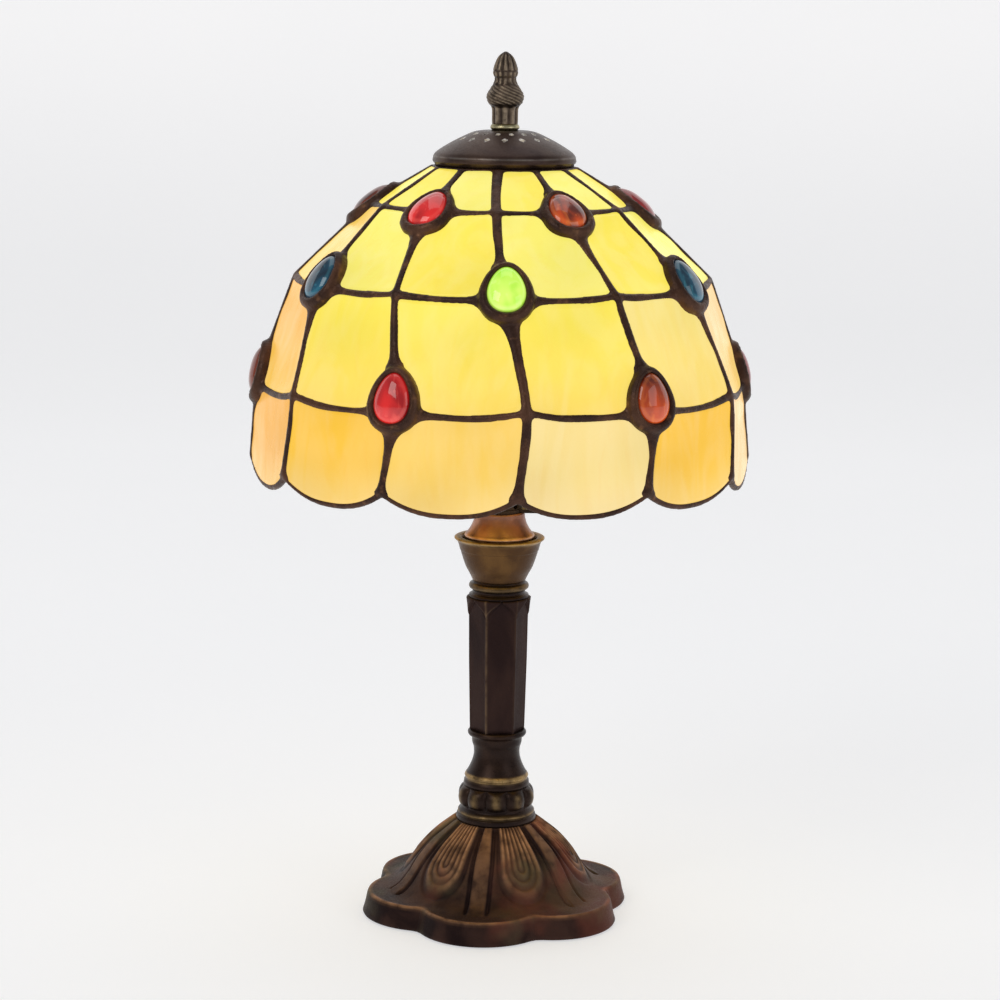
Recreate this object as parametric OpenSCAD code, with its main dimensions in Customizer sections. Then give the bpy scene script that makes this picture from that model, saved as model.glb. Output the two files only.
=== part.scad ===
// Table lamp: a twelve-sided stained glass shade with glass jewels, held by a finial
// on a harp, over a socket on a cast column and a six-lobed cast base.
// Millimetres, +Z up. The origin is the centre of the face that the lamp rests on.
// Angles are measured from the front (-Y) towards +X.

/* [Glass shade] */
// Radius of the seam corners at each ring of the shade, crown to rim
ring_r = [28.3, 52.3, 82.5, 97.5, 99.9]; // [20:0.1:110]
// Height of the seam corners at each ring, crown to rim
ring_z = [306, 291.7, 262.6, 222, 190]; // [180:0.1:310]
// Turn of each ring's corners in degrees, which makes the seams wander
ring_sway = [-5, -3, 1, 5.5, 3.7]; // [-6:0.1:6]
// How far each ring's line hangs between two corners
ring_sag = [0, 0.8, 1.6, 3, 7.5]; // [0:0.1:9]
// Thickness of the glass
glass_t = 2.6; // [2.2:0.1:3]
// Gap that the solder fills on each side of a seam's middle line
glass_gap = 0.6; // [0.5:0.05:0.8]
// Diameter of the solder line along the seams
solder_d = 3.6; // [3.2:0.1:4]

/* [Glass jewels] */
// Width of a jewel
jewel_w = 14; // [12:0.5:16]
// Length of a jewel, with its narrow end up
jewel_l = 19; // [17:0.5:22]
// Height of a jewel's crown over the middle of the glass
jewel_h = 4.6; // [3.5:0.1:5.5]
// Width of the solder bezel round a jewel
bezel_w = 3; // [2:0.1:3.6]
// How far up its seam a jewel sits from each ring's line
jewel_rise = [0, 0.4, 3.3, 3.5, 0]; // [0:0.1:4]

/* [Vented cap and finial] */
// Radius of the cap
cap_r = 28.6; // [28:0.1:29]
// Height of the cap's flat top over the floor
cap_top_z = 321.4; // [321:0.1:322]
// Thickness of the cap's metal
cap_t = 1.2; // [0.8:0.1:1.5]
// Number of vent holes in each of the cap's two rings
vent_count = 16; // [12:1:20]
// Height of the finial's tip over the floor
tip_z = 352.4; // [350:0.1:356]

/* [Harp and socket] */
// Distance from the axis to the harp's legs
leg_x = 25; // [24:0.5:27]
// Radius of the harp's arch
arch_r = 31.5; // [31:0.5:34]
// Diameter of the harp's wire
wire_d = 3.2; // [3:0.1:3.6]
// Height at which the legs bend outwards
bend_z = 200; // [198:1:204]
// Radius of the socket's shell
socket_r = 17; // [16.5:0.1:18]
// Radius of the bulb's globe
globe_r = 22.5; // [20:0.5:23]

/* [Column and base] */
// Radius across the column's six arrises at its foot
column_foot_r = 11.4; // [11:0.1:12]
// Radius across the column's six arrises at its head
column_head_r = 13; // [12:0.1:13.5]
// Distance from the axis to the middle of each base lobe
lobe_offset = 29; // [28:0.5:30]
// Radius of each base lobe at the floor
lobe_r = 27.5; // [27:0.1:28]
// Height of the base's flange
flange_h = 9.5; // [8:0.5:10]
// Wall thickness of the base casting
wall = 3; // [2.5:0.1:3.5]
// Radius of the cord inlet's bore
inlet_r = 2.6; // [2:0.1:2.8]

/* [Hidden] */
$fn = 72;
eps = 0.01;

columns = 12;
last_row = len(ring_r) - 2;
column_step = 360 / columns;
side_steps = 3;
edge_steps = 4;
rim_steps = 10;
ring_bar_steps = [1, 2, 2, 2, 4];
sag_power = 2.4;
egg_steps = 14;
egg_taper = 0.2;
egg_clearance = 0.6;
egg_cut = 8;
upper_share = 0.6;
jewel_back = 1.6;
jewel_dome_r = 15;
bezel_top = 2.2;
bezel_bottom = 4;
bar_fn = 6;

lobe_count = 6;
lobe_turn = -10;
lobe_step = 2;
base_top_z = 38;
base_floor_z = 0.5;
pad_t = 1.4;
cover_t = 1;
cover_hole_r = 9;
edge_lip = 2.4;

tube_r = 5;
tube_bore_r = 3.4;
tube_clearance = 0.1;
tube_bottom_z = 24;

gadroon_top_z = 52.5;
gadroon_count = 10;
neck_top_z = 76;
column_top_z = 132;
column_turn = -24;
head_top_z = 139;
cup_top_z = 157;
cup_floor_z = 151.5;
husk_foot_z = 156.2;
husk_top_z = 167.5;

saddle_t = 1.5;
saddle_w = 9;
saddle_end = 3;
prong_top_z = 176;
socket_cap_top_z = 184;
core_top_z = 196;
socket_top_z = 223;
socket_wall = 0.7;
liner_t = 0.6;
screw_r = 14;
screw_wall = 0.4;
key_z = 190;
key_r = 2;
key_hole_r = 3.2;
bulb_base_r = 13.2;
bulb_base_z = 199;
bulb_base_wall = 0.5;
bulb_cement_z = 218;
bulb_base_top_z = 226;
globe_z = 252;

ferrule_r = 3.2;
ferrule_l = 14;
ferrule_z = saddle_top_z() + 1;
stud_r = 3.1;
stud_top_z = 333;
stud_hole_r = 3.4;
seat_t = 1;
hub_t = 1.8;
plate_t = 3.6;
plate_r = 7;
hub_z = cap_top_z - cap_t - hub_t;
seat_z = hub_z - seat_t;
plate_z = seat_z - plate_t;
arch_bite = 0.4;
arch_z = plate_z + wire_d / 2 - arch_r + arch_bite;
finial_z = cap_top_z + 2.5;
insert_r = 4;
insert_top_z = 336;
insert_end = 2;

function saddle_top_z() = husk_top_z + saddle_t;

// Ring values past the crown and the rim, carried on in a straight line
function beyond(list, i) =
    i < 0 ? 2 * list[0] - list[1]
    : i >= len(list) ? 2 * list[len(list) - 1] - list[len(list) - 2]
    : list[i];
function between(list, s) =
    let (i = min(floor(s), len(list) - 2))
    list[i] + (list[i + 1] - list[i]) * (s - i);
// A smooth curve through the ring values
function smooth(list, s) =
    let (
        i = min(floor(s), len(list) - 2),
        t = s - i,
        a = beyond(list, i - 1),
        b = beyond(list, i),
        c = beyond(list, i + 1),
        d = beyond(list, i + 2)
    )
    b + 0.5 * t * (c - a + t * (2 * a - 5 * b + 4 * c - d + t * (3 * (b - c) + d - a)));
function hang(t) = 1 - pow(abs(t), sag_power);
function on_circle(radius, angle, z) = [radius * sin(angle), -radius * cos(angle), z];
function seam_point(seam, s) =
    on_circle(between(ring_r, s), smooth(ring_sway, s) + column_step * seam, between(ring_z, s));
function ring_point(ring, column, t) =
    let (
        a = seam_point(column, ring),
        b = seam_point(column + 1, ring)
    )
    a + (b - a) * (1 + t) / 2 - [0, 0, ring_sag[ring] * hang(t)];
function apothem(ring) = ring_r[ring] * cos(column_step / 2);
function row_turn(row) = (ring_sway[row] + ring_sway[row + 1]) / 2;
function row_slope(row) =
    atan2(ring_z[row] - ring_z[row + 1], apothem(row + 1) - apothem(row));
function row_length(row) =
    norm([apothem(row + 1) - apothem(row), ring_z[row] - ring_z[row + 1]]);
function crossing_slope(ring) =
    upper_share * row_slope(ring - 1) + (1 - upper_share) * row_slope(ring);

// One side of a panel, top to bottom, in the plane of the panel
function panel_side(row, side) = [
    for (j = [0 : side_steps])
        let (
            s = row + j / side_steps,
            angle = smooth(ring_sway, s) - row_turn(row) + side * column_step / 2
        )
        [
            between(ring_r, s) * sin(angle) - side * glass_gap,
            -glass_gap - (row_length(row) - 2 * glass_gap) * j / side_steps
        ]
];
// A panel's edge between two corners, hanging as the ring does
function panel_edge(a, b, sag, steps) = [
    for (j = [1 : steps - 1])
        a + (b - a) * j / steps - [0, sag * hang(2 * j / steps - 1)]
];
function reversed(list) = [for (i = [len(list) - 1 : -1 : 0]) list[i]];
function panel_outline(row) =
    let (
        left = panel_side(row, -1),
        right = panel_side(row, 1),
        low_steps = row == last_row ? rim_steps : edge_steps
    )
    concat(
        left,
        panel_edge(left[side_steps], right[side_steps], ring_sag[row + 1], low_steps),
        reversed(right),
        panel_edge(right[0], left[0], ring_sag[row], edge_steps)
    );
function egg(grow) = [
    for (i = [0 : egg_steps - 1])
        let (a = 360 * i / egg_steps)
        [
            -(jewel_w / 2 + grow) * sin(a) * (1 - egg_taper * cos(a)),
            (jewel_l / 2 + grow) * cos(a)
        ]
];
function has_jewel(ring, seam) = ring > 0 && ring <= last_row && (ring + seam) % 2 == 0;

module at_row(row, column) {
    rotate([0, 0, row_turn(row) + column_step * (column + 0.5)])
        translate([0, -apothem(row), ring_z[row]])
            rotate([row_slope(row), 0, 0])
                children();
}
module at_crossing(ring, seam) {
    rotate([0, 0, ring_sway[ring] + column_step * seam])
        translate([0, -ring_r[ring], ring_z[ring]])
            rotate([crossing_slope(ring), 0, 0])
                translate([0, jewel_rise[ring], 0])
                    children();
}
module egg_prism(grow, low, high) {
    translate([0, 0, low])
        linear_extrude(high - low)
            polygon(egg(grow));
}
module panel(row, column) {
    difference() {
        at_row(row, column)
            translate([0, 0, -glass_t / 2])
                linear_extrude(glass_t)
                    polygon(panel_outline(row));
        for (ring = [row, row + 1], seam = [column, column + 1])
            if (has_jewel(ring, seam))
                at_crossing(ring, seam)
                    egg_prism(egg_clearance, -egg_cut, egg_cut);
    }
}
module glass_row(row) {
    for (column = [0 : columns - 1])
        panel(row, column);
}
module jewel() {
    intersection() {
        egg_prism(0, -jewel_back, jewel_h);
        translate([0, 0, jewel_h - jewel_dome_r])
            sphere(jewel_dome_r);
    }
}
// Every fourth seam from the first, so that two colours alternate round a ring
module jewels(ring, first) {
    for (seam = [first : 4 : columns - 1])
        at_crossing(ring, seam)
            jewel();
}
module bar(a, b) {
    hull() {
        translate(a)
            sphere(d = solder_d, $fn = bar_fn);
        translate(b)
            sphere(d = solder_d, $fn = bar_fn);
    }
}
module seam_bars(seam) {
    for (row = [0 : last_row], j = [0, 1])
        bar(seam_point(seam, row + j / 2), seam_point(seam, row + (j + 1) / 2));
}
module ring_bars(ring, column) {
    steps = ring_bar_steps[ring];
    for (j = [0 : steps - 1])
        bar(
            ring_point(ring, column, 2 * j / steps - 1),
            ring_point(ring, column, 2 * (j + 1) / steps - 1)
        );
}
module all_bezels(grow, low, high) {
    for (ring = [1 : last_row], seam = [0 : columns - 1])
        if (has_jewel(ring, seam))
            at_crossing(ring, seam)
                egg_prism(grow, low, high);
}

module glass_crown() {
    color("khaki") glass_row(0);
}
module glass_shoulder() {
    color("khaki") glass_row(1);
}
module glass_body() {
    color("navajowhite") glass_row(2);
}
module glass_skirt() {
    color("wheat") glass_row(3);
}
module solder_seams() {
    color("#3c2a1c")
        difference() {
            union() {
                for (column = [0 : columns - 1]) {
                    seam_bars(column);
                    for (ring = [0 : last_row + 1])
                        ring_bars(ring, column);
                }
                all_bezels(bezel_w, -bezel_bottom, bezel_top);
            }
            all_bezels(0, -bezel_bottom - 1, bezel_top + 1);
        }
}
module jewels_upper_red() {
    color("crimson") jewels(1, 3);
}
module jewels_upper_amber() {
    color("darkorange") jewels(1, 1);
}
module jewels_middle_green() {
    color("limegreen") jewels(2, 0);
}
module jewels_middle_blue() {
    color("teal") jewels(2, 2);
}
module jewels_lower_red() {
    color("crimson") jewels(3, 3);
}
module jewels_lower_amber() {
    color("darkorange") jewels(3, 1);
}

// A turned ring: a profile round the axis with a hole through it
module turned(profile, hole_r) {
    difference() {
        rotate_extrude()
            polygon(profile);
        translate([0, 0, min([for (p = profile) p[1]]) - 1])
            cylinder(r = hole_r, h = max([for (p = profile) p[1]]) + 2);
    }
}
function arc(centre, radius, from, to, steps) = [
    for (i = [0 : steps])
        let (a = from + (to - from) * i / steps)
        centre + radius * [cos(a), sin(a)]
];
// Quarter-ellipse dome from its rim to a flat top
function dome(radius, height, z, from, to, steps) = [
    for (i = [0 : steps])
        let (a = from + (to - from) * i / steps)
        [radius * cos(a), z + height * sin(a)]
];

dome_h = 14.9;
dome_z = 307.35;
dome_steps = 12;
lip_angle = 4;
flat_angle = 70.5;
lip_in = 0.5;
lip_w = 1.4;
// For each ring of vents: distance from the axis, radius of a hole, and turn in parts of a step
vent_rings = [[18.2, 1, 0], [14.2, 0.9, 0.5]];
module vented_cap() {
    outer = dome(cap_r, dome_h, dome_z, lip_angle, flat_angle, dome_steps);
    inner = dome(cap_r - cap_t, dome_h - cap_t, dome_z, lip_angle, flat_angle, dome_steps);
    color("#46383a")
        difference() {
            rotate_extrude()
                polygon(concat(
                    [[0, cap_top_z]],
                    reversed(outer),
                    [[cap_r - lip_in, ring_z[0] + solder_d / 2]],
                    [[cap_r - lip_in - lip_w, ring_z[0] + solder_d / 2]],
                    inner,
                    [[0, cap_top_z - cap_t]]
                ));
            cylinder_between(stud_hole_r, cap_top_z - cap_t - 1, cap_top_z + 1);
            for (ring = vent_rings, i = [0 : vent_count - 1])
                rotate([0, 0, 360 * (i + ring[2]) / vent_count])
                    translate([0, -ring[0], 0])
                        cylinder_between(ring[1], dome_z, cap_top_z + 1);
        }
}
spider_arms = 4;
spider_arm_w = 6;
spider_ring_r = 26.6;
spider_ring_w = 1.6;
spider_ring_z = ring_z[0] + solder_d / 2 + 0.1;
spider_t = 1.5;
// The arms arch under the cap, from the hub down to the ring, clear of the harp
module spider_arm() {
    line = [[7, hub_z], [8.5, hub_z], [14, 317], [21, 313.4], [spider_ring_r - 0.8, spider_ring_z]];
    rotate([90, 0, 90])
        translate([0, 0, -spider_arm_w / 2])
            linear_extrude(spider_arm_w)
                polygon(concat(line, reversed([for (p = line) p + [0, spider_t]])));
}
module spider() {
    color("goldenrod")
        difference() {
            union() {
                cylinder_between(8, hub_z, hub_z + hub_t);
                tube(
                    spider_ring_r,
                    spider_ring_r - spider_ring_w,
                    spider_ring_z,
                    spider_ring_z + spider_t
                );
                for (i = [0 : spider_arms - 1])
                    rotate([0, 0, 360 * (i + 0.5) / spider_arms])
                        spider_arm();
            }
            cylinder_between(stud_hole_r, hub_z - 1, hub_z + hub_t + 1);
        }
}
module seat_washer() {
    color("silver")
        tube(7.5, stud_hole_r, seat_z, seat_z + seat_t);
}

module finial_washer() {
    color("goldenrod")
        turned(concat(
            [[0, cap_top_z]],
            [[5.4, cap_top_z]],
            arc([5.2, cap_top_z + 1.25], 0.85, -60, 60, 4),
            [[5.4, finial_z], [0, finial_z]]
        ), stud_hole_r);
}
module finial_insert() {
    color("gold")
        difference() {
            cylinder_between(insert_r, finial_z, insert_top_z);
            cylinder_between(stud_r + tube_clearance, finial_z - 1, insert_top_z - insert_end);
        }
}
finial_ribs = 10;
rib_r = 0.8;
rib_h = 6.6;
module finial() {
    bulge_z = 334.5;
    waist_z = 342;
    color("#5b4b39")
        difference() {
            union() {
                rotate_extrude()
                    polygon(concat(
                        [[0, finial_z], [4.9, finial_z]],
                        [[4.9, finial_z + 6], [6.2, finial_z + 7.4]],
                        arc([3.2, bulge_z], 4.3, -35, 55, 8),
                        [[4.4, waist_z - 1], [4.3, waist_z], [5, waist_z + 2]],
                        [[4.4, waist_z + 4], [3, tip_z - 4]],
                        arc([0, tip_z - 2], 2, 25, 90, 5)
                    ));
                for (i = [0 : finial_ribs - 1])
                    rotate([0, 0, 360 * i / finial_ribs])
                        translate([4.5, 0, finial_z])
                            cylinder(r = rib_r, h = rib_h);
            }
            cylinder_between(insert_r, finial_z - 1, insert_top_z);
        }
}

// The legs lean out from the bend so that they meet the arch as tangents
leg_rise = arch_z - bend_z;
leg_reach = norm([leg_x, leg_rise]);
leg_lean = asin(arch_r / leg_reach) - atan(leg_x / leg_rise);
leg_length = sqrt(leg_reach * leg_reach - arch_r * arch_r);
knuckle_d = wire_d + 0.4;
module harp_leg() {
    translate([leg_x, 0, prong_top_z])
        cylinder(d = wire_d, h = bend_z - prong_top_z);
    translate([leg_x, 0, bend_z]) {
        sphere(d = knuckle_d);
        rotate([0, leg_lean, 0]) {
            cylinder(d = wire_d, h = leg_length);
            translate([0, 0, leg_length])
                sphere(d = knuckle_d);
        }
    }
}
module harp_frame() {
    color("darkgoldenrod") {
        harp_leg();
        mirror([1, 0, 0])
            harp_leg();
        translate([0, 0, arch_z])
            rotate([90, 0, 0])
                rotate([0, 0, -leg_lean])
                    rotate_extrude(angle = 180 + 2 * leg_lean)
                        translate([arch_r, 0])
                            circle(d = wire_d);
    }
}
module harp_stud() {
    color("gold") {
        cylinder_between(plate_r, plate_z, plate_z + plate_t);
        cylinder_between(stud_r, seat_z - eps, stud_top_z);
    }
}
module cylinder_between(radius, low, high) {
    translate([0, 0, low])
        cylinder(r = radius, h = high - low);
}
module ferrule() {
    color("gold")
        difference() {
            cylinder_between(ferrule_r, ferrule_z, ferrule_z + ferrule_l);
            cylinder_between(wire_d / 2 + tube_clearance, ferrule_z - 1, ferrule_z + ferrule_l + 1);
        }
}
module ferrule_left() {
    translate([-leg_x, 0, 0]) ferrule();
}
module ferrule_right() {
    translate([leg_x, 0, 0]) ferrule();
}
module saddle() {
    color("darkgoldenrod")
        difference() {
            union() {
                cylinder_between(9.5, husk_top_z, saddle_top_z());
                translate([-leg_x - saddle_end, -saddle_w / 2, husk_top_z])
                    cube([2 * (leg_x + saddle_end), saddle_w, saddle_t]);
                for (side = [-1, 1])
                    translate([side * leg_x, 0, 0])
                        cylinder_between(wire_d / 2, husk_top_z, prong_top_z - 0.3);
            }
            cylinder_between(tube_r + tube_clearance, husk_top_z - 1, saddle_top_z() + 1);
        }
}

module socket_cap() {
    color("goldenrod")
        difference() {
            rotate_extrude()
                polygon(concat(
                    [[tube_r + tube_clearance, saddle_top_z()], [9, saddle_top_z()]],
                    [[9, saddle_top_z() + 3]],
                    arc([socket_r - 6, socket_cap_top_z - 4], 6, -60, 0, 5),
                    [[socket_r, socket_cap_top_z]],
                    [[socket_r - socket_wall, socket_cap_top_z]],
                    [[socket_r - socket_wall, socket_cap_top_z - 3]],
                    [[10, saddle_top_z() + 5], [tube_r + tube_clearance, saddle_top_z() + 5]]
                ));
            translate([0, 0, saddle_top_z() + 1.6])
                rotate([90, 0, 45])
                    cylinder(r = 1.2, h = 12);
        }
}
module tube(outer, inner, low, high) {
    difference() {
        cylinder_between(outer, low, high);
        cylinder_between(inner, low - 1, high + 1);
    }
}
module key_bore(radius) {
    translate([0, 0, key_z])
        rotate([90, 0, 0])
            cylinder(r = radius, h = 2 * socket_r);
}
module socket_shell() {
    color("goldenrod")
        difference() {
            tube(socket_r, socket_r - socket_wall, socket_cap_top_z, socket_top_z);
            key_bore(key_hole_r);
        }
}
module socket_liner() {
    liner_r = socket_r - socket_wall;
    color("tan")
        difference() {
            tube(liner_r, liner_r - liner_t, socket_cap_top_z, socket_top_z - 2);
            key_bore(key_hole_r);
        }
}
module socket_core() {
    core_r = socket_r - socket_wall - liner_t - 0.1;
    color("#2b2522")
        difference() {
            cylinder_between(core_r, socket_cap_top_z - 3, core_top_z);
            key_bore(key_r + tube_clearance);
            cylinder_between(tube_bore_r, socket_cap_top_z - 4, socket_cap_top_z);
        }
}
module screw_shell() {
    color("silver")
        tube(screw_r, screw_r - screw_wall, core_top_z, socket_top_z - 3);
}
module centre_contact() {
    color("goldenrod")
        cylinder_between(3, core_top_z, core_top_z + 1.4);
}
module switch_key() {
    color("#1d1a18")
        translate([0, 0, key_z])
            rotate([90, 0, 0]) {
                cylinder(r = key_r, h = 22);
                translate([0, 0, 21])
                    cylinder(r = 3, h = 3);
                translate([-7, -1.4, 23])
                    cube([14, 2.8, 8]);
            }
}
module bulb_base() {
    color("silver")
        difference() {
            union() {
                cylinder_between(bulb_base_r, bulb_base_z + 4, bulb_base_top_z);
                translate([0, 0, bulb_base_z])
                    cylinder(r1 = 5, r2 = bulb_base_r, h = 4);
                cylinder_between(4, bulb_base_z - 1.5, bulb_base_z + eps);
            }
            cylinder_between(bulb_base_r - bulb_base_wall, bulb_cement_z, bulb_base_top_z + 1);
        }
}
module bulb_globe() {
    glass = 0.8;
    neck_r = bulb_base_r - 0.6;
    color("lemonchiffon", 0.8)
        difference() {
            union() {
                translate([0, 0, globe_z])
                    sphere(globe_r);
                cylinder_between(
                    neck_r,
                    bulb_cement_z + 0.2,
                    globe_z - sqrt(pow(globe_r, 2) - pow(neck_r, 2)) + 1
                );
            }
            translate([0, 0, globe_z])
                sphere(globe_r - glass);
            cylinder_between(neck_r - glass, bulb_cement_z - 1, globe_z - globe_r / 2);
        }
}

module husk() {
    color("#a56941")
        turned(concat(
            [[0, husk_foot_z], [14.4, husk_foot_z]],
            [[14.9, 157.3], [14.6, 158.1], [13.2, 159.3]],
            [[12, 160.8], [11, 162.8], [10.4, 165]],
            [[10.4, husk_top_z], [0, husk_top_z]]
        ), tube_r + tube_clearance);
}
module cup() {
    color("#5a4632")
        rotate_extrude()
            polygon(concat(
                [[tube_r + tube_clearance, head_top_z], [10.8, head_top_z]],
                [[12.3, 142], [14, 145.3], [15.5, 150], [16.5, 154]],
                arc([17.6, 156.1], 0.9, -60, 90, 5),
                [[15.6, cup_top_z], [14.4, 154], [13.6, cup_floor_z]],
                [[tube_r + tube_clearance, cup_floor_z]]
            ));
}
module cup_spacer() {
    color("silver")
        tube(9, tube_r + tube_clearance, cup_floor_z, husk_foot_z);
}
module column_head() {
    color("#5a4632")
        turned(concat(
            [[0, column_top_z], [12.2, column_top_z], [12.2, 133.2], [10.7, 134]],
            arc([11, 136.6], 1.3, -60, 60, 5),
            [[10.8, head_top_z], [0, head_top_z]]
        ), tube_r + tube_clearance);
}
module column() {
    taper_z = 124;
    waist_r = 12.2;
    color("#37281f")
        difference() {
            rotate([0, 0, column_turn + 90])
                union() {
                    translate([0, 0, neck_top_z])
                        cylinder(r1 = column_foot_r, r2 = waist_r, h = taper_z - neck_top_z, $fn = 6);
                    translate([0, 0, taper_z])
                        cylinder(r1 = waist_r, r2 = column_head_r, h = column_top_z - taper_z, $fn = 6);
                }
            cylinder_between(tube_r + tube_clearance, neck_top_z - 1, column_top_z + 1);
        }
}
module neck() {
    color("#37281f")
        turned(concat(
            [[0, gadroon_top_z], [13.6, gadroon_top_z], [13.6, 54.4]],
            arc([12, 56.4], 1, -70, 80, 5),
            [[11.9, 59]],
            arc([14.3, 66], 4.9, 215, 150, 6),
            arc([10.4, 73.6], 1.9, -55, 70, 6),
            [[10.6, neck_top_z], [0, neck_top_z]]
        ), tube_r + tube_clearance);
}
module gadroon_ring() {
    groove_z = 48;
    color("#3a2a1e")
        difference() {
            turned(concat(
                [[0, base_top_z], [16.5, base_top_z], [16.4, 40.5], [15.2, 43.2], [14.2, 44.4]],
                arc([11.9, groove_z], 3.8, -54, 60, 8),
                [[13.4, gadroon_top_z], [0, gadroon_top_z]]
            ), tube_r + tube_clearance);
            for (i = [0 : gadroon_count - 1])
                rotate([0, 0, 360 * (i + 0.5) / gadroon_count])
                    translate([0, -16.1, groove_z - 2.4])
                        cylinder(r = 0.9, h = 4.8);
        }
}
module centre_tube() {
    color("silver")
        tube(tube_r, tube_bore_r, tube_bottom_z, saddle_top_z() + 4);
}

module lobes(inset, low, high) {
    translate([0, 0, low])
        linear_extrude(high - low) {
            circle(lobe_offset);
            for (i = [0 : lobe_count - 1])
                rotate(lobe_turn + 360 * i / lobe_count)
                    translate([0, -lobe_offset])
                        circle(lobe_r - inset);
        }
}
dome_foot_z = flange_h - 0.6;
bell_from_r = 14;
bell_to_r = 44;
bell_steps = 10;
// The top of the base: a bell curve from the collar down to the flange
function bell(grow) = [
    for (i = [0 : bell_steps])
        let (
            t = i / bell_steps,
            r = bell_from_r + (bell_to_r - bell_from_r) * t
        )
        [r + grow, dome_foot_z + (base_top_z - dome_foot_z) * (1 - t) * (1 - t) * (1 + 1.3 * t) + grow]
];
module base_casting() {
    color("#32241a")
        difference() {
            union() {
                lobes(0, base_floor_z, flange_h - lobe_step);
                lobes(lobe_step, base_floor_z, flange_h);
                rotate_extrude()
                    polygon(concat(
                        [[0, base_floor_z], [bell_to_r, base_floor_z]],
                        reversed(bell(0)),
                        [[0, base_top_z]]
                    ));
            }
            lobes(edge_lip, -1, pad_t + cover_t);
            lobes(wall + lobe_step, 0, flange_h - wall);
            rotate_extrude()
                polygon(concat(
                    [[0, -1], [bell_to_r - wall - 1, -1]],
                    reversed(bell(-wall)),
                    [[0, base_top_z - wall]]
                ));
            cylinder_between(tube_r + tube_clearance, 0, base_top_z + 1);
            at_inlet()
                cylinder(r = inlet_r + bushing_wall, h = 2 * bushing_l);
        }
}
inlet_z = 4.9;
inlet_angle = 170;
inlet_from = 50;
inlet_notch_w = 8;
bushing_wall = 0.8;
bushing_l = 7;
module at_inlet() {
    rotate([0, 0, inlet_angle])
        translate([0, -inlet_from, inlet_z])
            rotate([90, 0, 0])
                children();
}
module cord_bushing() {
    color("#1a1a1a")
        at_inlet()
            difference() {
                cylinder(r = inlet_r + bushing_wall, h = bushing_l);
                translate([0, 0, -1])
                    cylinder(r = inlet_r, h = bushing_l + 2);
            }
}
module base_cover() {
    color("silver")
        difference() {
            lobes(edge_lip + 0.2, pad_t, pad_t + cover_t);
            cylinder_between(cover_hole_r, 0, base_floor_z + flange_h);
            at_inlet()
                translate([-inlet_notch_w / 2, -inlet_z, -1])
                    cube([inlet_notch_w, 2 * inlet_z, 10]);
        }
}
module foot_pad() {
    color("#2c3a2c")
        lobes(edge_lip + 0.6, 0, pad_t);
}
washer_t = 1.5;
module base_washer() {
    color("silver")
        tube(10, tube_r + tube_clearance, base_top_z - wall - washer_t, base_top_z - wall);
}
module base_nut() {
    nut_h = 5;
    nut_r = 8.6;
    color("silver")
        difference() {
            translate([0, 0, base_top_z - wall - washer_t - nut_h])
                cylinder(r = nut_r, h = nut_h, $fn = 6);
            cylinder_between(tube_r + tube_clearance, 0, base_top_z);
        }
}

foot_pad();
base_cover();
base_casting();
base_washer();
base_nut();
cord_bushing();
centre_tube();
gadroon_ring();
neck();
column();
column_head();
cup();
cup_spacer();
husk();
saddle();
socket_cap();
socket_shell();
socket_liner();
socket_core();
screw_shell();
centre_contact();
switch_key();
bulb_base();
bulb_globe();
harp_frame();
harp_stud();
ferrule_left();
ferrule_right();
seat_washer();
spider();
vented_cap();
glass_crown();
glass_shoulder();
glass_body();
glass_skirt();
solder_seams();
jewels_upper_red();
jewels_upper_amber();
jewels_middle_green();
jewels_middle_blue();
jewels_lower_red();
jewels_lower_amber();
finial_washer();
finial_insert();
finial();
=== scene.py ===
import math

import bmesh
import bpy
import numpy as np
from mathutils import Matrix, Vector


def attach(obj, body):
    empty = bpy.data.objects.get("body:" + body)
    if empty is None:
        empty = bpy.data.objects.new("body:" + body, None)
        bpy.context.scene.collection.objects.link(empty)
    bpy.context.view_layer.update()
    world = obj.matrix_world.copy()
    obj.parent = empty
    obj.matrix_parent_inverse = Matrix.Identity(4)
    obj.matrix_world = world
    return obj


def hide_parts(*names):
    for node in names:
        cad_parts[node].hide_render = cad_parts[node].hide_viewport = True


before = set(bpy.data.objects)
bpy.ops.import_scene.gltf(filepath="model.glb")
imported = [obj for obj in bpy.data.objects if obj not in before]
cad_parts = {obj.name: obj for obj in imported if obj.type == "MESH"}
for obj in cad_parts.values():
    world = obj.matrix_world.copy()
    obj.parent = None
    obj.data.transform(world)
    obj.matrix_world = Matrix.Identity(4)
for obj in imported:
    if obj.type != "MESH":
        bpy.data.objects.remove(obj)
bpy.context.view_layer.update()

MM = 0.001
FULL_TURN = 2 * math.pi


# ---------------------------------------------------------------- camera
# The camera stands 1.1 m in front of the lamp and looks down on it a little.
CAMERA_DISTANCE = 1.100
CAMERA_HEIGHT = 0.368
AIM_HEIGHT = 0.172
LENS, SENSOR_W = 98.7, 36
CAMERA_ROLL = math.radians(0.75)


def make_camera():
    data = bpy.data.cameras.new("camera")
    data.lens = LENS
    data.sensor_width = SENSOR_W
    data.clip_start = 0.01
    camera = bpy.data.objects.new("camera", data)
    place = Vector((0, -CAMERA_DISTANCE, CAMERA_HEIGHT))
    ahead = Vector((0, 0, AIM_HEIGHT)) - place
    turn = ahead.to_track_quat("-Z", "Y").to_matrix().to_4x4() @ Matrix.Rotation(CAMERA_ROLL, 4, "Z")
    camera.matrix_world = Matrix.Translation(place) @ turn
    bpy.context.scene.collection.objects.link(camera)
    bpy.context.scene.camera = camera
    bpy.context.scene.view_settings.view_transform = "Standard"


make_camera()


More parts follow.
